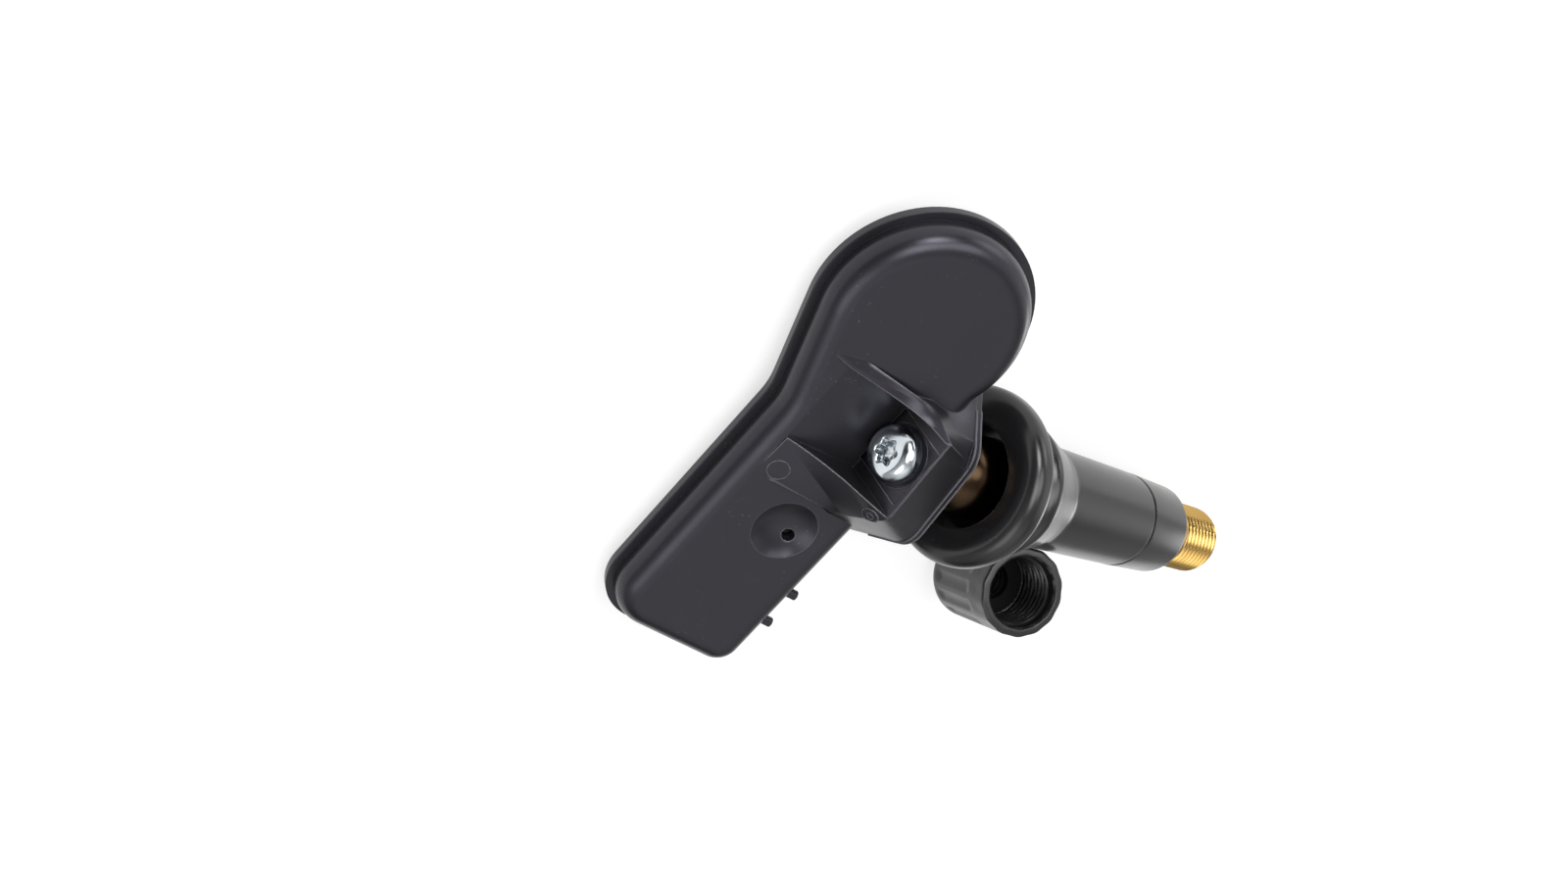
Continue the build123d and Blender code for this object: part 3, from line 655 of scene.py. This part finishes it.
class Dresser:
    """Gives every piece and every carried-over solid its finish."""

    def __init__(self) -> None:
        """Build the shared effects and every finish."""
        groups = NodeGroups()
        self.materials = {slot: finish.make(groups) for slot, finish in FINISHES.items()}

    def dress(self, piece: bpy.types.Object, slot: str) -> None:
        """Put one finish on all of a piece.

        Args:
            piece: The object to dress.
            slot: The record's material slot.
        """
        piece.data.materials.clear()
        piece.data.materials.append(self.materials[slot])

    def dress_solids(self, subparts: Iterable[dict[str, str]], nodes: dict[str, bpy.types.Object]) -> None:
        """Put each solid's finish in its material slots.

        Args:
            subparts: The record's list of nodes and slots.
            nodes: The frame's objects by node name.
        """
        for subpart in subparts:
            node = nodes[subpart["node"]]
            for slot in node.material_slots:
                slot.link = "OBJECT"
                slot.material = self.materials[subpart["material_slot"]]
            log.info("%s is dressed with %s", node.name, subpart["material_slot"])

    def place(self, piece: bpy.types.Object, slot: str, body: Body, *replaced: str) -> None:
        """Dress a piece, let it ride on its body and report it.

        Args:
            piece: The new piece.
            slot: The record's material slot.
            body: The body it moves with.
            replaced: Solids that it stands for.
        """
        self.dress(piece, slot)
        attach(piece, body.value)
        if replaced:
            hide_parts(*replaced)
        log.info("%s rides on %s, %d faces", piece.name, body.value, len(piece.data.polygons))


@dataclass
class Valve:
    """Rubber snap-in valve round its brass stem. Lengths run along the stem in millimetres."""

    segments: int = 128
    flange_r: float = 9.6
    flange_round: float = 1.6
    flange_peak: float = 2.2
    flange_back: float = 3.4
    flange_back_r: float = 8.4
    seat: Sequence[Point] = ((3.95, 6.85), (4.3, 6.28), (4.6, 6.1), (5.6, 6.1), (5.92, 6.3))
    bulb: Sequence[Point] = ((6.8, 7.2), (7.15, 7.47), (7.5, 7.56), (7.9, 7.5), (8.3, 7.35))
    cone_bend: float = 0.8
    cone_end: float = 13.74
    cone_end_r: float = 5.64
    sleeve_bend: float = 1.2
    bend_steps: int = 6
    groove: float = 30.8
    groove_r: float = 5.36
    groove_half: float = 0.26
    groove_depth: float = 0.5
    sleeve_end: float = 38.6
    sleeve_end_r: float = 5.12
    sleeve_round: float = 0.45
    cavity_r: float = 5.69
    cavity_lip: float = 0.25
    cavity_depth: float = 4.0
    foot_r: float = 4.4
    foot_face: float = -4.0
    foot_shoulder: float = -0.4
    collar_start: float = 4.6
    collar_end: float = 5.5
    collar_r: float = 4.9
    shank_r: float = 3.3
    thread_r: float = 3.85
    thread_pitch: float = 0.794
    thread_depth: float = 0.42
    thread_flank: float = 1.35
    thread_crest: float = 0.18
    thread_start: float = 40.9
    thread_runout: float = 0.5
    rows_per_pitch: int = 10
    tip: float = 48.45
    tip_chamfer: float = 0.6
    bore: Sequence[Point] = ((48.45, 2.6), (41.45, 2.6), (40.35, 2.0), (30.7, 2.0), (30.0, 1.3), (2.4, 1.3))
    screw_hole_r: float = 1.55
    screw_hole_end: float = 2.0

    def rubber(self) -> bpy.types.Object:
        """Build the moulded rubber.

        Returns:
            The rubber piece.
        """
        face_r = self.flange_r - self.flange_round
        profile: list[Point] = [(0.0, self.cavity_r + self.cavity_lip)]
        profile += arc((0.0, face_r), (self.flange_round, face_r), (self.flange_round, self.flange_r),
                       steps=10)
        profile += arc((self.flange_peak, self.flange_r), (self.flange_peak, self.flange_back_r),
                       (self.flange_back, self.flange_back_r), steps=8)
        profile += [*self.seat, *self.bulb, *self._flare()]
        profile += [(self.groove - self.groove_half, self.groove_r),
                    (self.groove, self.groove_r - self.groove_depth),
                    (self.groove + self.groove_half, self.groove_r)]
        edge, edge_r = self.sleeve_end - self.sleeve_round, self.sleeve_end_r - self.sleeve_round
        profile += arc((edge, self.sleeve_end_r), (edge, edge_r), (self.sleeve_end, edge_r), steps=6)
        profile += [(self.sleeve_end, self.shank_r), (self.collar_end, self.shank_r),
                    (self.collar_end, self.collar_r), (self.collar_start, self.collar_r),
                    (self.collar_start, self.foot_r), (self.cavity_depth, self.foot_r),
                    (self.cavity_depth, self.cavity_r), (self.cavity_lip, self.cavity_r)]
        mesh = bmesh.new()
        turned(mesh, STEM, profile, self.segments)
        return new_piece("valve_rubber_moulding", mesh, smooth_angle=50.0)

    def _flare(self) -> list[Point]:
        """Cone from the bulb down to the sleeve, with a soft bend where they meet.

        Returns:
            Points of the outline.
        """
        start, end = self.bulb[-1], (self.cone_end, self.cone_end_r)
        slope = (end[1] - start[1]) / (end[0] - start[0])
        tail = (self.groove_r - end[1]) / (self.groove - end[0])
        points = [(start[0] + self.cone_bend, start[1] + self.cone_bend * slope)]
        for step in range(self.bend_steps + 1):
            part = step / self.bend_steps
            away = self.sleeve_bend * (2 * part - 1)
            before, after = end[1] + slope * away, end[1] + tail * away
            points.append((end[0] + away, before + (after - before) * part ** 2 * (3 - 2 * part)))
        return points

    def stem(self) -> bpy.types.Object:
        """Build the brass stem with its mouth thread.

        Returns:
            The brass piece.
        """
        face_r = math.sqrt(self.foot_r ** 2 - (self.foot_shoulder - self.foot_face) ** 2)
        profile: list[Point] = [(self.screw_hole_end, 0.0), (self.screw_hole_end, self.screw_hole_r),
                                (self.foot_face, self.screw_hole_r)]
        profile += arc((self.foot_face, face_r), (self.foot_shoulder, 0.0),
                       (self.foot_shoulder, self.foot_r), steps=14)
        profile += [(self.collar_start, self.foot_r), (self.collar_start, self.collar_r),
                    (self.collar_end, self.collar_r), (self.collar_end, self.shank_r),
                    (self.sleeve_end, self.shank_r)]
        mouth = self.tip - self.sleeve_end
        rows = int(mouth / (self.thread_pitch / self.rows_per_pitch))
        profile += [(self.sleeve_end + mouth * row / rows, self.thread_r) for row in range(rows + 1)]
        profile += [*self.bore, (self.bore[-1][0], 0.0)]
        mesh = bmesh.new()
        turned(mesh, STEM, profile, self.segments, self._thread)
        return new_piece("valve_stem_turning", mesh, smooth_angle=40.0)

    def _thread(self, length: float, radius: float, angle: float) -> float:
        """Radius of the brass at a length and angle, with the thread cut into the mouth.

        Args:
            length: Length along the stem.
            radius: Plain radius.
            angle: Turn about the stem.

        Returns:
            The radius with the thread.
        """
        if radius != self.thread_r:
            return radius
        phase = (length / self.thread_pitch - angle / (2 * math.pi)) % 1.0
        wave = abs(2 * phase - 1)
        cut = self.thread_depth * share(self.thread_flank * wave - self.thread_crest)
        fade = share((length - self.thread_start) / self.thread_runout)
        lead = max(0.0, length - (self.tip - self.tip_chamfer))
        return min(radius - cut * fade, radius - lead)

    def build(self, dresser: Dresser) -> None:
        """Make both pieces and place them."""
        dresser.place(self.rubber(), "valve_rubber", Body.SENSOR, "valve_rubber")
        dresser.place(self.stem(), "stem_brass", Body.SENSOR, "valve_stem")


@dataclass
class Screw:
    """Six-lobe pan screw on the stem's axis. Lengths run along the stem in millimetres."""

    segments: int = 144
    head_top: float = -12.9
    bearing: float = -10.4
    head_r: float = 2.95
    head_round: float = 1.3
    under_chamfer: float = 0.2
    shank_r: float = 1.5
    tip: float = 1.6
    tip_chamfer: float = 0.3
    recess_r: float = 1.22
    recess_floor_r: float = 1.12
    recess_depth: float = 1.2
    recess_chamfer: float = 0.1
    recess_cone: float = 0.2
    lobes: int = 6
    lobe_swing: float = 0.14

    def _lobed(self, length: float, radius: float, angle: float) -> float:
        """Radius with the six lobes in the recess and plain elsewhere.

        Args:
            length: Length along the stem.
            radius: Plain radius.
            angle: Turn about the stem.

        Returns:
            The shaped radius.
        """
        in_recess = length < self.bearing and radius < self.recess_r + 2 * self.recess_chamfer
        return radius * (1 + self.lobe_swing * math.cos(self.lobes * angle)) if in_recess else radius

    def build(self, dresser: Dresser) -> None:
        """Make the screw and place it.

        Args:
            dresser: Gives it its finish and body.
        """
        floor = self.head_top + self.recess_depth
        profile: list[Point] = [(floor + self.recess_cone, 0.0), (floor, self.recess_floor_r),
                                (self.head_top + self.recess_chamfer, self.recess_r),
                                (self.head_top, self.recess_r + self.recess_chamfer)]
        edge, edge_r = self.head_top + self.head_round, self.head_r - self.head_round
        profile += arc((self.head_top, edge_r), (edge, edge_r), (edge, self.head_r), steps=12)
        profile += [(self.bearing - self.under_chamfer, self.head_r),
                    (self.bearing, self.head_r - self.under_chamfer),
                    (self.bearing, self.shank_r), (self.tip - self.tip_chamfer, self.shank_r),
                    (self.tip, self.shank_r - self.tip_chamfer), (self.tip, 0.0)]
        mesh = bmesh.new()
        turned(mesh, STEM, profile, self.segments, self._lobed)
        piece = new_piece("mounting_screw_turning", mesh, smooth_angle=32.0)
        dresser.place(piece, "screw_zinc", Body.SENSOR, "mounting_screw")


@dataclass
class DustCap:
    """Fluted dust cap with an internal thread. Lengths run from its closed end in millimetres."""

    segments: int = 168
    radius: float = 5.0
    length: float = 12.5
    end_round: float = 0.9
    mouth_round: float = 0.3
    mouth_chamfer: float = 0.3
    side_rows: int = 44
    flutes: int = 14
    flute_depth: float = 0.28
    flute_start: float = 1.3
    flute_end: float = 9.3
    flute_fade: float = 0.9
    flute_spread: float = 0.35
    rim_scallop: float = 0.09
    rim_fade: float = 1.5
    bore_r: float = 3.9
    bore_end: float = 5.4
    bore_lead: float = 0.35
    bore_rows: int = 90
    thread_pitch: float = 0.794
    thread_depth: float = 0.3
    thread_flank: float = 1.6
    thread_lead: float = 0.8
    thread_fade_out: float = 0.6
    thread_fade_in: float = 0.4
    seat_r: float = 3.7
    seat_end: float = 4.5
    tip_r: float = 2.7
    tip_end: float = 2.1

    def _shaped(self, length: float, radius: float, angle: float) -> float:
        """Radius outside with its flutes, and inside with its thread.

        Args:
            length: Length from the closed end.
            radius: Plain radius.
            angle: Turn about the cap.

        Returns:
            The shaped radius.
        """
        if radius > self.bore_r + self.mouth_chamfer / 2:
            return self._fluted(length, radius, math.cos(self.flutes * angle))
        thread_stop = self.length - self.thread_lead
        if radius == self.bore_r and self.bore_end < length < thread_stop:
            phase = (length / self.thread_pitch + angle / (2 * math.pi)) % 1.0
            ridge = share(1.0 - abs(2 * phase - 1) * self.thread_flank)
            fade = min(share((thread_stop - length) / self.thread_fade_out),
                       share((length - self.bore_end) / self.thread_fade_in))
            return radius - self.thread_depth * ridge * fade
        return radius

    def _fluted(self, length: float, radius: float, wave: float) -> float:
        """Radius of the outside.

        Args:
            length: Length from the closed end.
            radius: Plain radius.
            wave: One in the middle of a flute, and minus one between two.

        Returns:
            The radius with flutes and a scalloped rim.
        """
        hollow = max(0.0, wave + self.flute_spread) / (1.0 + self.flute_spread)
        run_in = share((length - self.flute_start) / self.flute_fade)
        run_out = share((length - self.flute_end + self.flute_fade) / self.flute_fade)
        along = (0.5 + 0.5 * math.cos(math.pi * run_out)) * run_in
        rim = share((length - self.flute_end) / self.rim_fade)
        cut = self.flute_depth * math.sqrt(hollow) * along + self.rim_scallop * (0.5 + 0.5 * wave) * rim
        return radius - min(1.0, radius / self.radius) * cut

    def build(self, dresser: Dresser) -> None:
        """Make the cap and place it.

        Args:
            dresser: Gives it its finish and body.
        """
        end_r, mouth_r = self.radius - self.end_round, self.radius - self.mouth_round
        profile: list[Point] = [(0.0, 0.0), (0.0, 0.5 * self.radius)]
        profile += arc((0.0, end_r), (self.end_round, end_r), (self.end_round, self.radius), steps=6)
        start, stop, rows = self.end_round, self.length - self.mouth_round, self.side_rows
        profile += [(start + (stop - start) * row / rows, self.radius) for row in range(1, rows + 1)]
        profile += arc((stop, self.radius), (stop, mouth_r), (self.length, mouth_r), steps=4)[1:]
        profile += [(self.length, self.bore_r + self.mouth_chamfer),
                    (self.length - self.mouth_chamfer, self.bore_r)]
        start, rows = self.length - self.bore_lead, self.bore_rows
        profile += [(start - (start - self.bore_end) * row / rows, self.bore_r) for row in range(rows + 1)]
        profile += [(self.bore_end, self.seat_r), (self.seat_end, self.seat_r), (self.seat_end, self.tip_r),
                    (self.tip_end, self.tip_r), (self.tip_end, 0.0)]
        mesh = bmesh.new()
        turned(mesh, CAP, profile, self.segments, self._shaped)
        piece = new_piece("dust_cap_moulding", mesh, smooth_angle=40.0)
        dresser.place(piece, "cap_plastic", Body.SENSOR, "valve_cap")


@dataclass
class MouldMarks:
    """Fine raised marks that the mould leaves on the housing, in millimetres in the housing's directions."""

    dial: Point = (-9.3, -6.05)
    dial_rings: Sequence[float] = (0.92, 0.42)
    dial_dots: int = 12
    dial_dots_r: float = 0.67
    dot_r: float = 0.085
    ejector: Point = (-18.4, -8.35)
    ejector_r: float = 1.15
    ejector_height: float = 0.025
    bead: float = 0.17
    height: float = 0.1
    sink: float = 0.03
    shoulder: Point = (0.3, 0.8)
    segments: int = 48
    above_housing: float = 30.0
    above_skin: float = 2.0
    skin: BVHTree = field(init=False)

    def __post_init__(self) -> None:
        """Take the housing's surface from the frame."""
        solid = frame["nodes"]["housing"]
        points = [solid.matrix_world @ vertex.co for vertex in solid.data.vertices]
        self.skin = BVHTree.FromPolygons(points, [list(face.vertices) for face in solid.data.polygons])

    def _seat(self, spot: Point) -> Matrix:
        """Frame on the skin under a spot, with its third direction out of the surface.

        Args:
            spot: Place in the housing's directions.

        Returns:
            The frame, in metres.
        """
        start = housing_point(spot[0], spot[1], self.above_housing)
        place, normal, _, _ = self.skin.ray_cast(start, -HOUSING_Z)
        side = HOUSING_Y.cross(normal).normalized()
        turn = Matrix((side, normal.cross(side), normal)).transposed()
        return Matrix.Translation(place) @ turn.to_4x4()

    def _on_skin(self, seat: Matrix, x: float, y: float, lift: float) -> Vector:
        """Point of a mark, dropped on the skin and lifted from it.

        Args:
            seat: Frame of the mark.
            x: Millimetres along the seat's first direction.
            y: Millimetres along its second direction.
            lift: Millimetres out of the skin.

        Returns:
            The point in metres.
        """
        out = seat.to_3x3() @ UP
        start = seat @ (Vector((x, y, self.above_skin)) * MM)
        place, _, _, _ = self.skin.ray_cast(start, -out)
        return place + out * (lift * MM)

    def _ring(self, mesh: bmesh.types.BMesh, seat: Matrix, centre: Point, radius: float, bead: float,
              height: float) -> None:
        """Add one raised ring.

        Args:
            mesh: Mesh that takes the ring.
            seat: Frame of the mark.
            centre: Centre of the ring on the seat.
            radius: Radius of the ring's middle line.
            bead: Width of the ring.
            height: How far the ring stands out.
        """
        part, rise = self.shoulder
        section = ((-0.5, -self.sink), (-part, rise * height), (0.0, height), (part, rise * height),
                   (0.5, -self.sink))
        loops = []
        for step in range(self.segments):
            angle = 2 * math.pi * step / self.segments
            loop = []
            for across, lift in section:
                reach = radius + across * bead
                loop.append(mesh.verts.new(self._on_skin(seat, centre[0] + reach * math.cos(angle),
                                                         centre[1] + reach * math.sin(angle), lift)))
            loops.append(loop)
        bridge(mesh, loops + loops[:1])

    def build(self, dresser: Dresser) -> None:
        """Make the dial and the ejector ring and place them.

        Args:
            dresser: Gives them their finish and body.
        """
        mesh = bmesh.new()
        seat = self._seat(self.dial)
        for radius in self.dial_rings:
            self._ring(mesh, seat, (0.0, 0.0), radius, self.bead, self.height)
        for step in range(self.dial_dots):
            angle = 2 * math.pi * step / self.dial_dots
            spot = (self.dial_dots_r * math.cos(angle), self.dial_dots_r * math.sin(angle))
            self._ring(mesh, seat, spot, self.dot_r, self.dot_r, self.height)
        dresser.place(new_piece("mould_dial", mesh), "housing_plastic", Body.SENSOR)
        mesh = bmesh.new()
        self._ring(mesh, self._seat(self.ejector), (0.0, 0.0), self.ejector_r, self.bead, self.ejector_height)
        dresser.place(new_piece("ejector_ring", mesh), "housing_plastic", Body.SENSOR)


@dataclass
class PlateLip:
    """Fine raised lines along both edges of the boss's front plate, in millimetres across the stem."""

    edges: Sequence[float] = (-4.1, -4.9)
    far_top: Point = (-7.2, 4.35)
    far_angle: float = 55.0
    far_round: float = 2.8
    near_top: Point = (3.9, 3.25)
    near_angle: float = 49.8
    near_round: float = 4.0
    run: float = 3.5
    bead: float = 0.13
    lift: float = 0.02
    steps: int = 14

    def outline(self) -> list[Point]:
        """Outline of the plate's free edge.

        Returns:
            Points to the side of the stem and above it.
        """
        fall = math.atan2(self.near_top[1] - self.far_top[1], self.near_top[0] - self.far_top[0])
        rise, drop = math.radians(self.far_angle), -math.radians(self.near_angle)
        points: list[Point] = []
        for corner, radius, before, after in ((self.far_top, self.far_round, rise, fall),
                                              (self.near_top, self.near_round, fall, drop)):
            reach = radius * math.tan((before - after) / 2)
            middle = (corner[0] - reach * math.cos(before) + radius * math.sin(before),
                      corner[1] - reach * math.sin(before) - radius * math.cos(before))
            for step in range(self.steps + 1):
                angle = before + math.pi / 2 - (before - after) * step / self.steps
                points.append((middle[0] + radius * math.cos(angle), middle[1] + radius * math.sin(angle)))
        first = (points[0][0] - self.run * math.cos(rise), points[0][1] - self.run * math.sin(rise))
        last = (points[-1][0] + self.run * math.cos(drop), points[-1][1] + self.run * math.sin(drop))
        return [first, *points, last]

    def _bead(self, mesh: bmesh.types.BMesh, length: float) -> None:
        """Add one line along the plate's edge.

        Args:
            mesh: Mesh that takes the line.
            length: Place of the line along the stem.
        """
        outline = self.outline()
        loops = []
        for step, (side, up) in enumerate(outline):
            before, after = outline[max(0, step - 1)], outline[min(len(outline) - 1, step + 1)]
            run = math.hypot(after[0] - before[0], after[1] - before[1])
            out = ((before[1] - after[1]) / run, (after[0] - before[0]) / run)
            loop = []
            for away, along in ((self.bead, 0.0), (0.0, self.bead), (-self.bead, 0.0), (0.0, -self.bead)):
                x, y = side + (self.lift + away) * out[0], up + (self.lift + away) * out[1]
                place = STEM.origin + STEM.along * (length + along) + STEM.side * x + STEM.across * y
                loop.append(mesh.verts.new(place * MM))
            loops.append(loop)
        bridge(mesh, loops)
        mesh.faces.new(loops[0])
        mesh.faces.new(loops[-1][::-1])

    def build(self, dresser: Dresser) -> None:
        """Make the lines and place them.

        Args:
            dresser: Gives them their finish and body.
        """
        mesh = bmesh.new()
        for length in self.edges:
            self._bead(mesh, length)
        dresser.place(new_piece("plate_lip", mesh), "housing_plastic", Body.SENSOR)


@dataclass(frozen=True)
class Glow:
    """A soft bright patch of the room, by its direction and its full and outer half angles in degrees."""

    name: str
    azimuth: float
    elevation: float
    level: float
    full: float = 4.0
    none: float = 38.0

    @property
    def towards(self) -> Vector:
        """Unit direction from the object to the patch."""
        turn, lift = math.radians(self.azimuth), math.radians(self.elevation)
        return Vector((math.cos(lift) * math.cos(turn), math.cos(lift) * math.sin(turn), math.sin(lift)))


@dataclass
class Studio:
    """White table, a room with soft bright patches, and the photograph's camera."""

    camera_place: Vector = field(default_factory=lambda: Vector((-0.16773, 0.06737, 0.13399)))
    right: Vector = field(default_factory=lambda: Vector((0.6846, 0.6166, 0.3888)))
    down: Vector = field(default_factory=lambda: Vector((0.2646, -0.7072, 0.6557)))
    forward: Vector = field(default_factory=lambda: Vector((0.6792, -0.346, -0.6473)))
    focal_px: float = 2200.2
    width_px: float = 1600.0
    sensor_mm: float = 36.0
    clip_start: float = 0.01
    floor_half: float = 3.0
    floor_drop: float = 0.00005
    floor_shade: float = 0.4
    floor_roughness: float = 0.7
    floor_specular: float = 0.1
    floor_glow: float = 0.66
    room_level: float = 0.05
    glows: Sequence[Glow] = (
        Glow("overhead", 0.0, 90.0, 0.4),
        Glow("high_back", 180.0, 58.0, 0.1),
        Glow("high_back_corner", 240.0, 58.0, 0.3),
        Glow("high_mouth_corner", 300.0, 58.0, 0.66),
        Glow("back_wall", 200.0, 32.0, 0.4),
        Glow("back_wall_low", 240.0, 20.0, 0.4),
        Glow("mouth_wall", 0.0, 32.0, 0.15),
        Glow("round_end_wall", 40.0, 32.0, 0.75),
        Glow("sleeve_fill", 30.0, 8.0, 0.4),
        Glow("mouth_fill", 330.0, 8.0, 0.25),
        Glow("shoulder_light", 135.0, 50.0, 5.6, 6.0, 20.0),
        Glow("round_end_light", 90.0, 48.0, 4.0, 6.0, 20.0),
        Glow("back_edge_light", 215.0, 50.0, 2.0, 6.0, 24.0),
        Glow("cone_light", 2.0, 2.0, 5.6, 5.0, 13.0),
        Glow("plate_light", 66.0, 8.0, 3.0, 5.0, 19.0),
        Glow("flange_light", 116.0, 22.0, 12.0, 4.0, 14.0))

    def camera(self) -> None:
        """Set the camera at the photograph's viewpoint."""
        data = bpy.data.cameras.new("viewpoint")
        data.sensor_width = self.sensor_mm
        data.lens = self.focal_px / self.width_px * self.sensor_mm
        data.clip_start = self.clip_start
        camera = bpy.data.objects.new("viewpoint", data)
        bpy.context.scene.collection.objects.link(camera)
        axes = (self.right.normalized(), -self.down.normalized(), -self.forward.normalized())
        camera.matrix_world = Matrix.Translation(self.camera_place) @ Matrix(axes).transposed().to_4x4()
        bpy.context.scene.camera = camera

    def floor(self) -> None:
        """Lay the white table, which keeps the object's shadow."""
        mesh = bmesh.new()
        half, level = self.floor_half, CAD_BOX[0].z - self.floor_drop
        corners = ((-half, -half), (half, -half), (half, half), (-half, half))
        mesh.faces.new([mesh.verts.new((x, y, level)) for x, y in corners])
        table = new_piece("white_table", mesh)
        material = bpy.data.materials.new("white_table")
        material.use_nodes = True
        graph = Graph(material.node_tree)
        path = graph.node("LightPath").outputs
        seen = path["Is Camera Ray"]
        for ray in ("Is Glossy Ray", "Is Transmission Ray"):
            seen = graph.math("MAXIMUM", seen, path[ray])
        graph.fill(graph.tree.nodes["Principled BSDF"].inputs, {
            "Base Color": (self.floor_shade, self.floor_shade, self.floor_shade),
            "Roughness": self.floor_roughness,
            "Specular IOR Level": self.floor_specular,
            "Emission Color": (1.0, 1.0, 1.0),
            "Emission Strength": graph.math("MULTIPLY", seen, self.floor_glow)})
        table.data.materials.append(material)

    def room(self) -> None:
        """Light the scene from a plain room with a few soft bright patches."""
        world = bpy.data.worlds.new("pale_room")
        bpy.context.scene.world = world
        world.use_nodes = True
        graph = Graph(world.node_tree)
        place = graph.node("TexCoord").outputs["Generated"]
        level: Socket | float = self.room_level
        for glow in self.glows:
            facing = graph.dot(place, glow.towards)
            facing.node.label = glow.name
            ends = (math.cos(math.radians(glow.none)), math.cos(math.radians(glow.full)))
            patch = graph.ramp(facing, ends, 0.0, glow.level, "SMOOTHSTEP")
            level = graph.math("ADD", level, patch)
        graph.fill(graph.tree.nodes["Background"].inputs, {"Strength": level, "Color": (1.0, 1.0, 1.0)})

    def build(self) -> None:
        """Set table, room and camera."""
        self.floor()
        self.room()
        self.camera()
        bpy.context.scene.view_settings.view_transform = "Standard"


def main() -> None:
    """Build, dress and light the sensor."""
    logging.basicConfig(level=logging.INFO, format="%(name)s: %(message)s")
    dresser = Dresser()
    dresser.dress_solids(frame["record"]["subparts"], frame["nodes"])
    Valve().build(dresser)
    Screw().build(dresser)
    DustCap().build(dresser)
    MouldMarks().build(dresser)
    PlateLip().build(dresser)
    Studio().build()


if __name__ == "__main__":
    main()
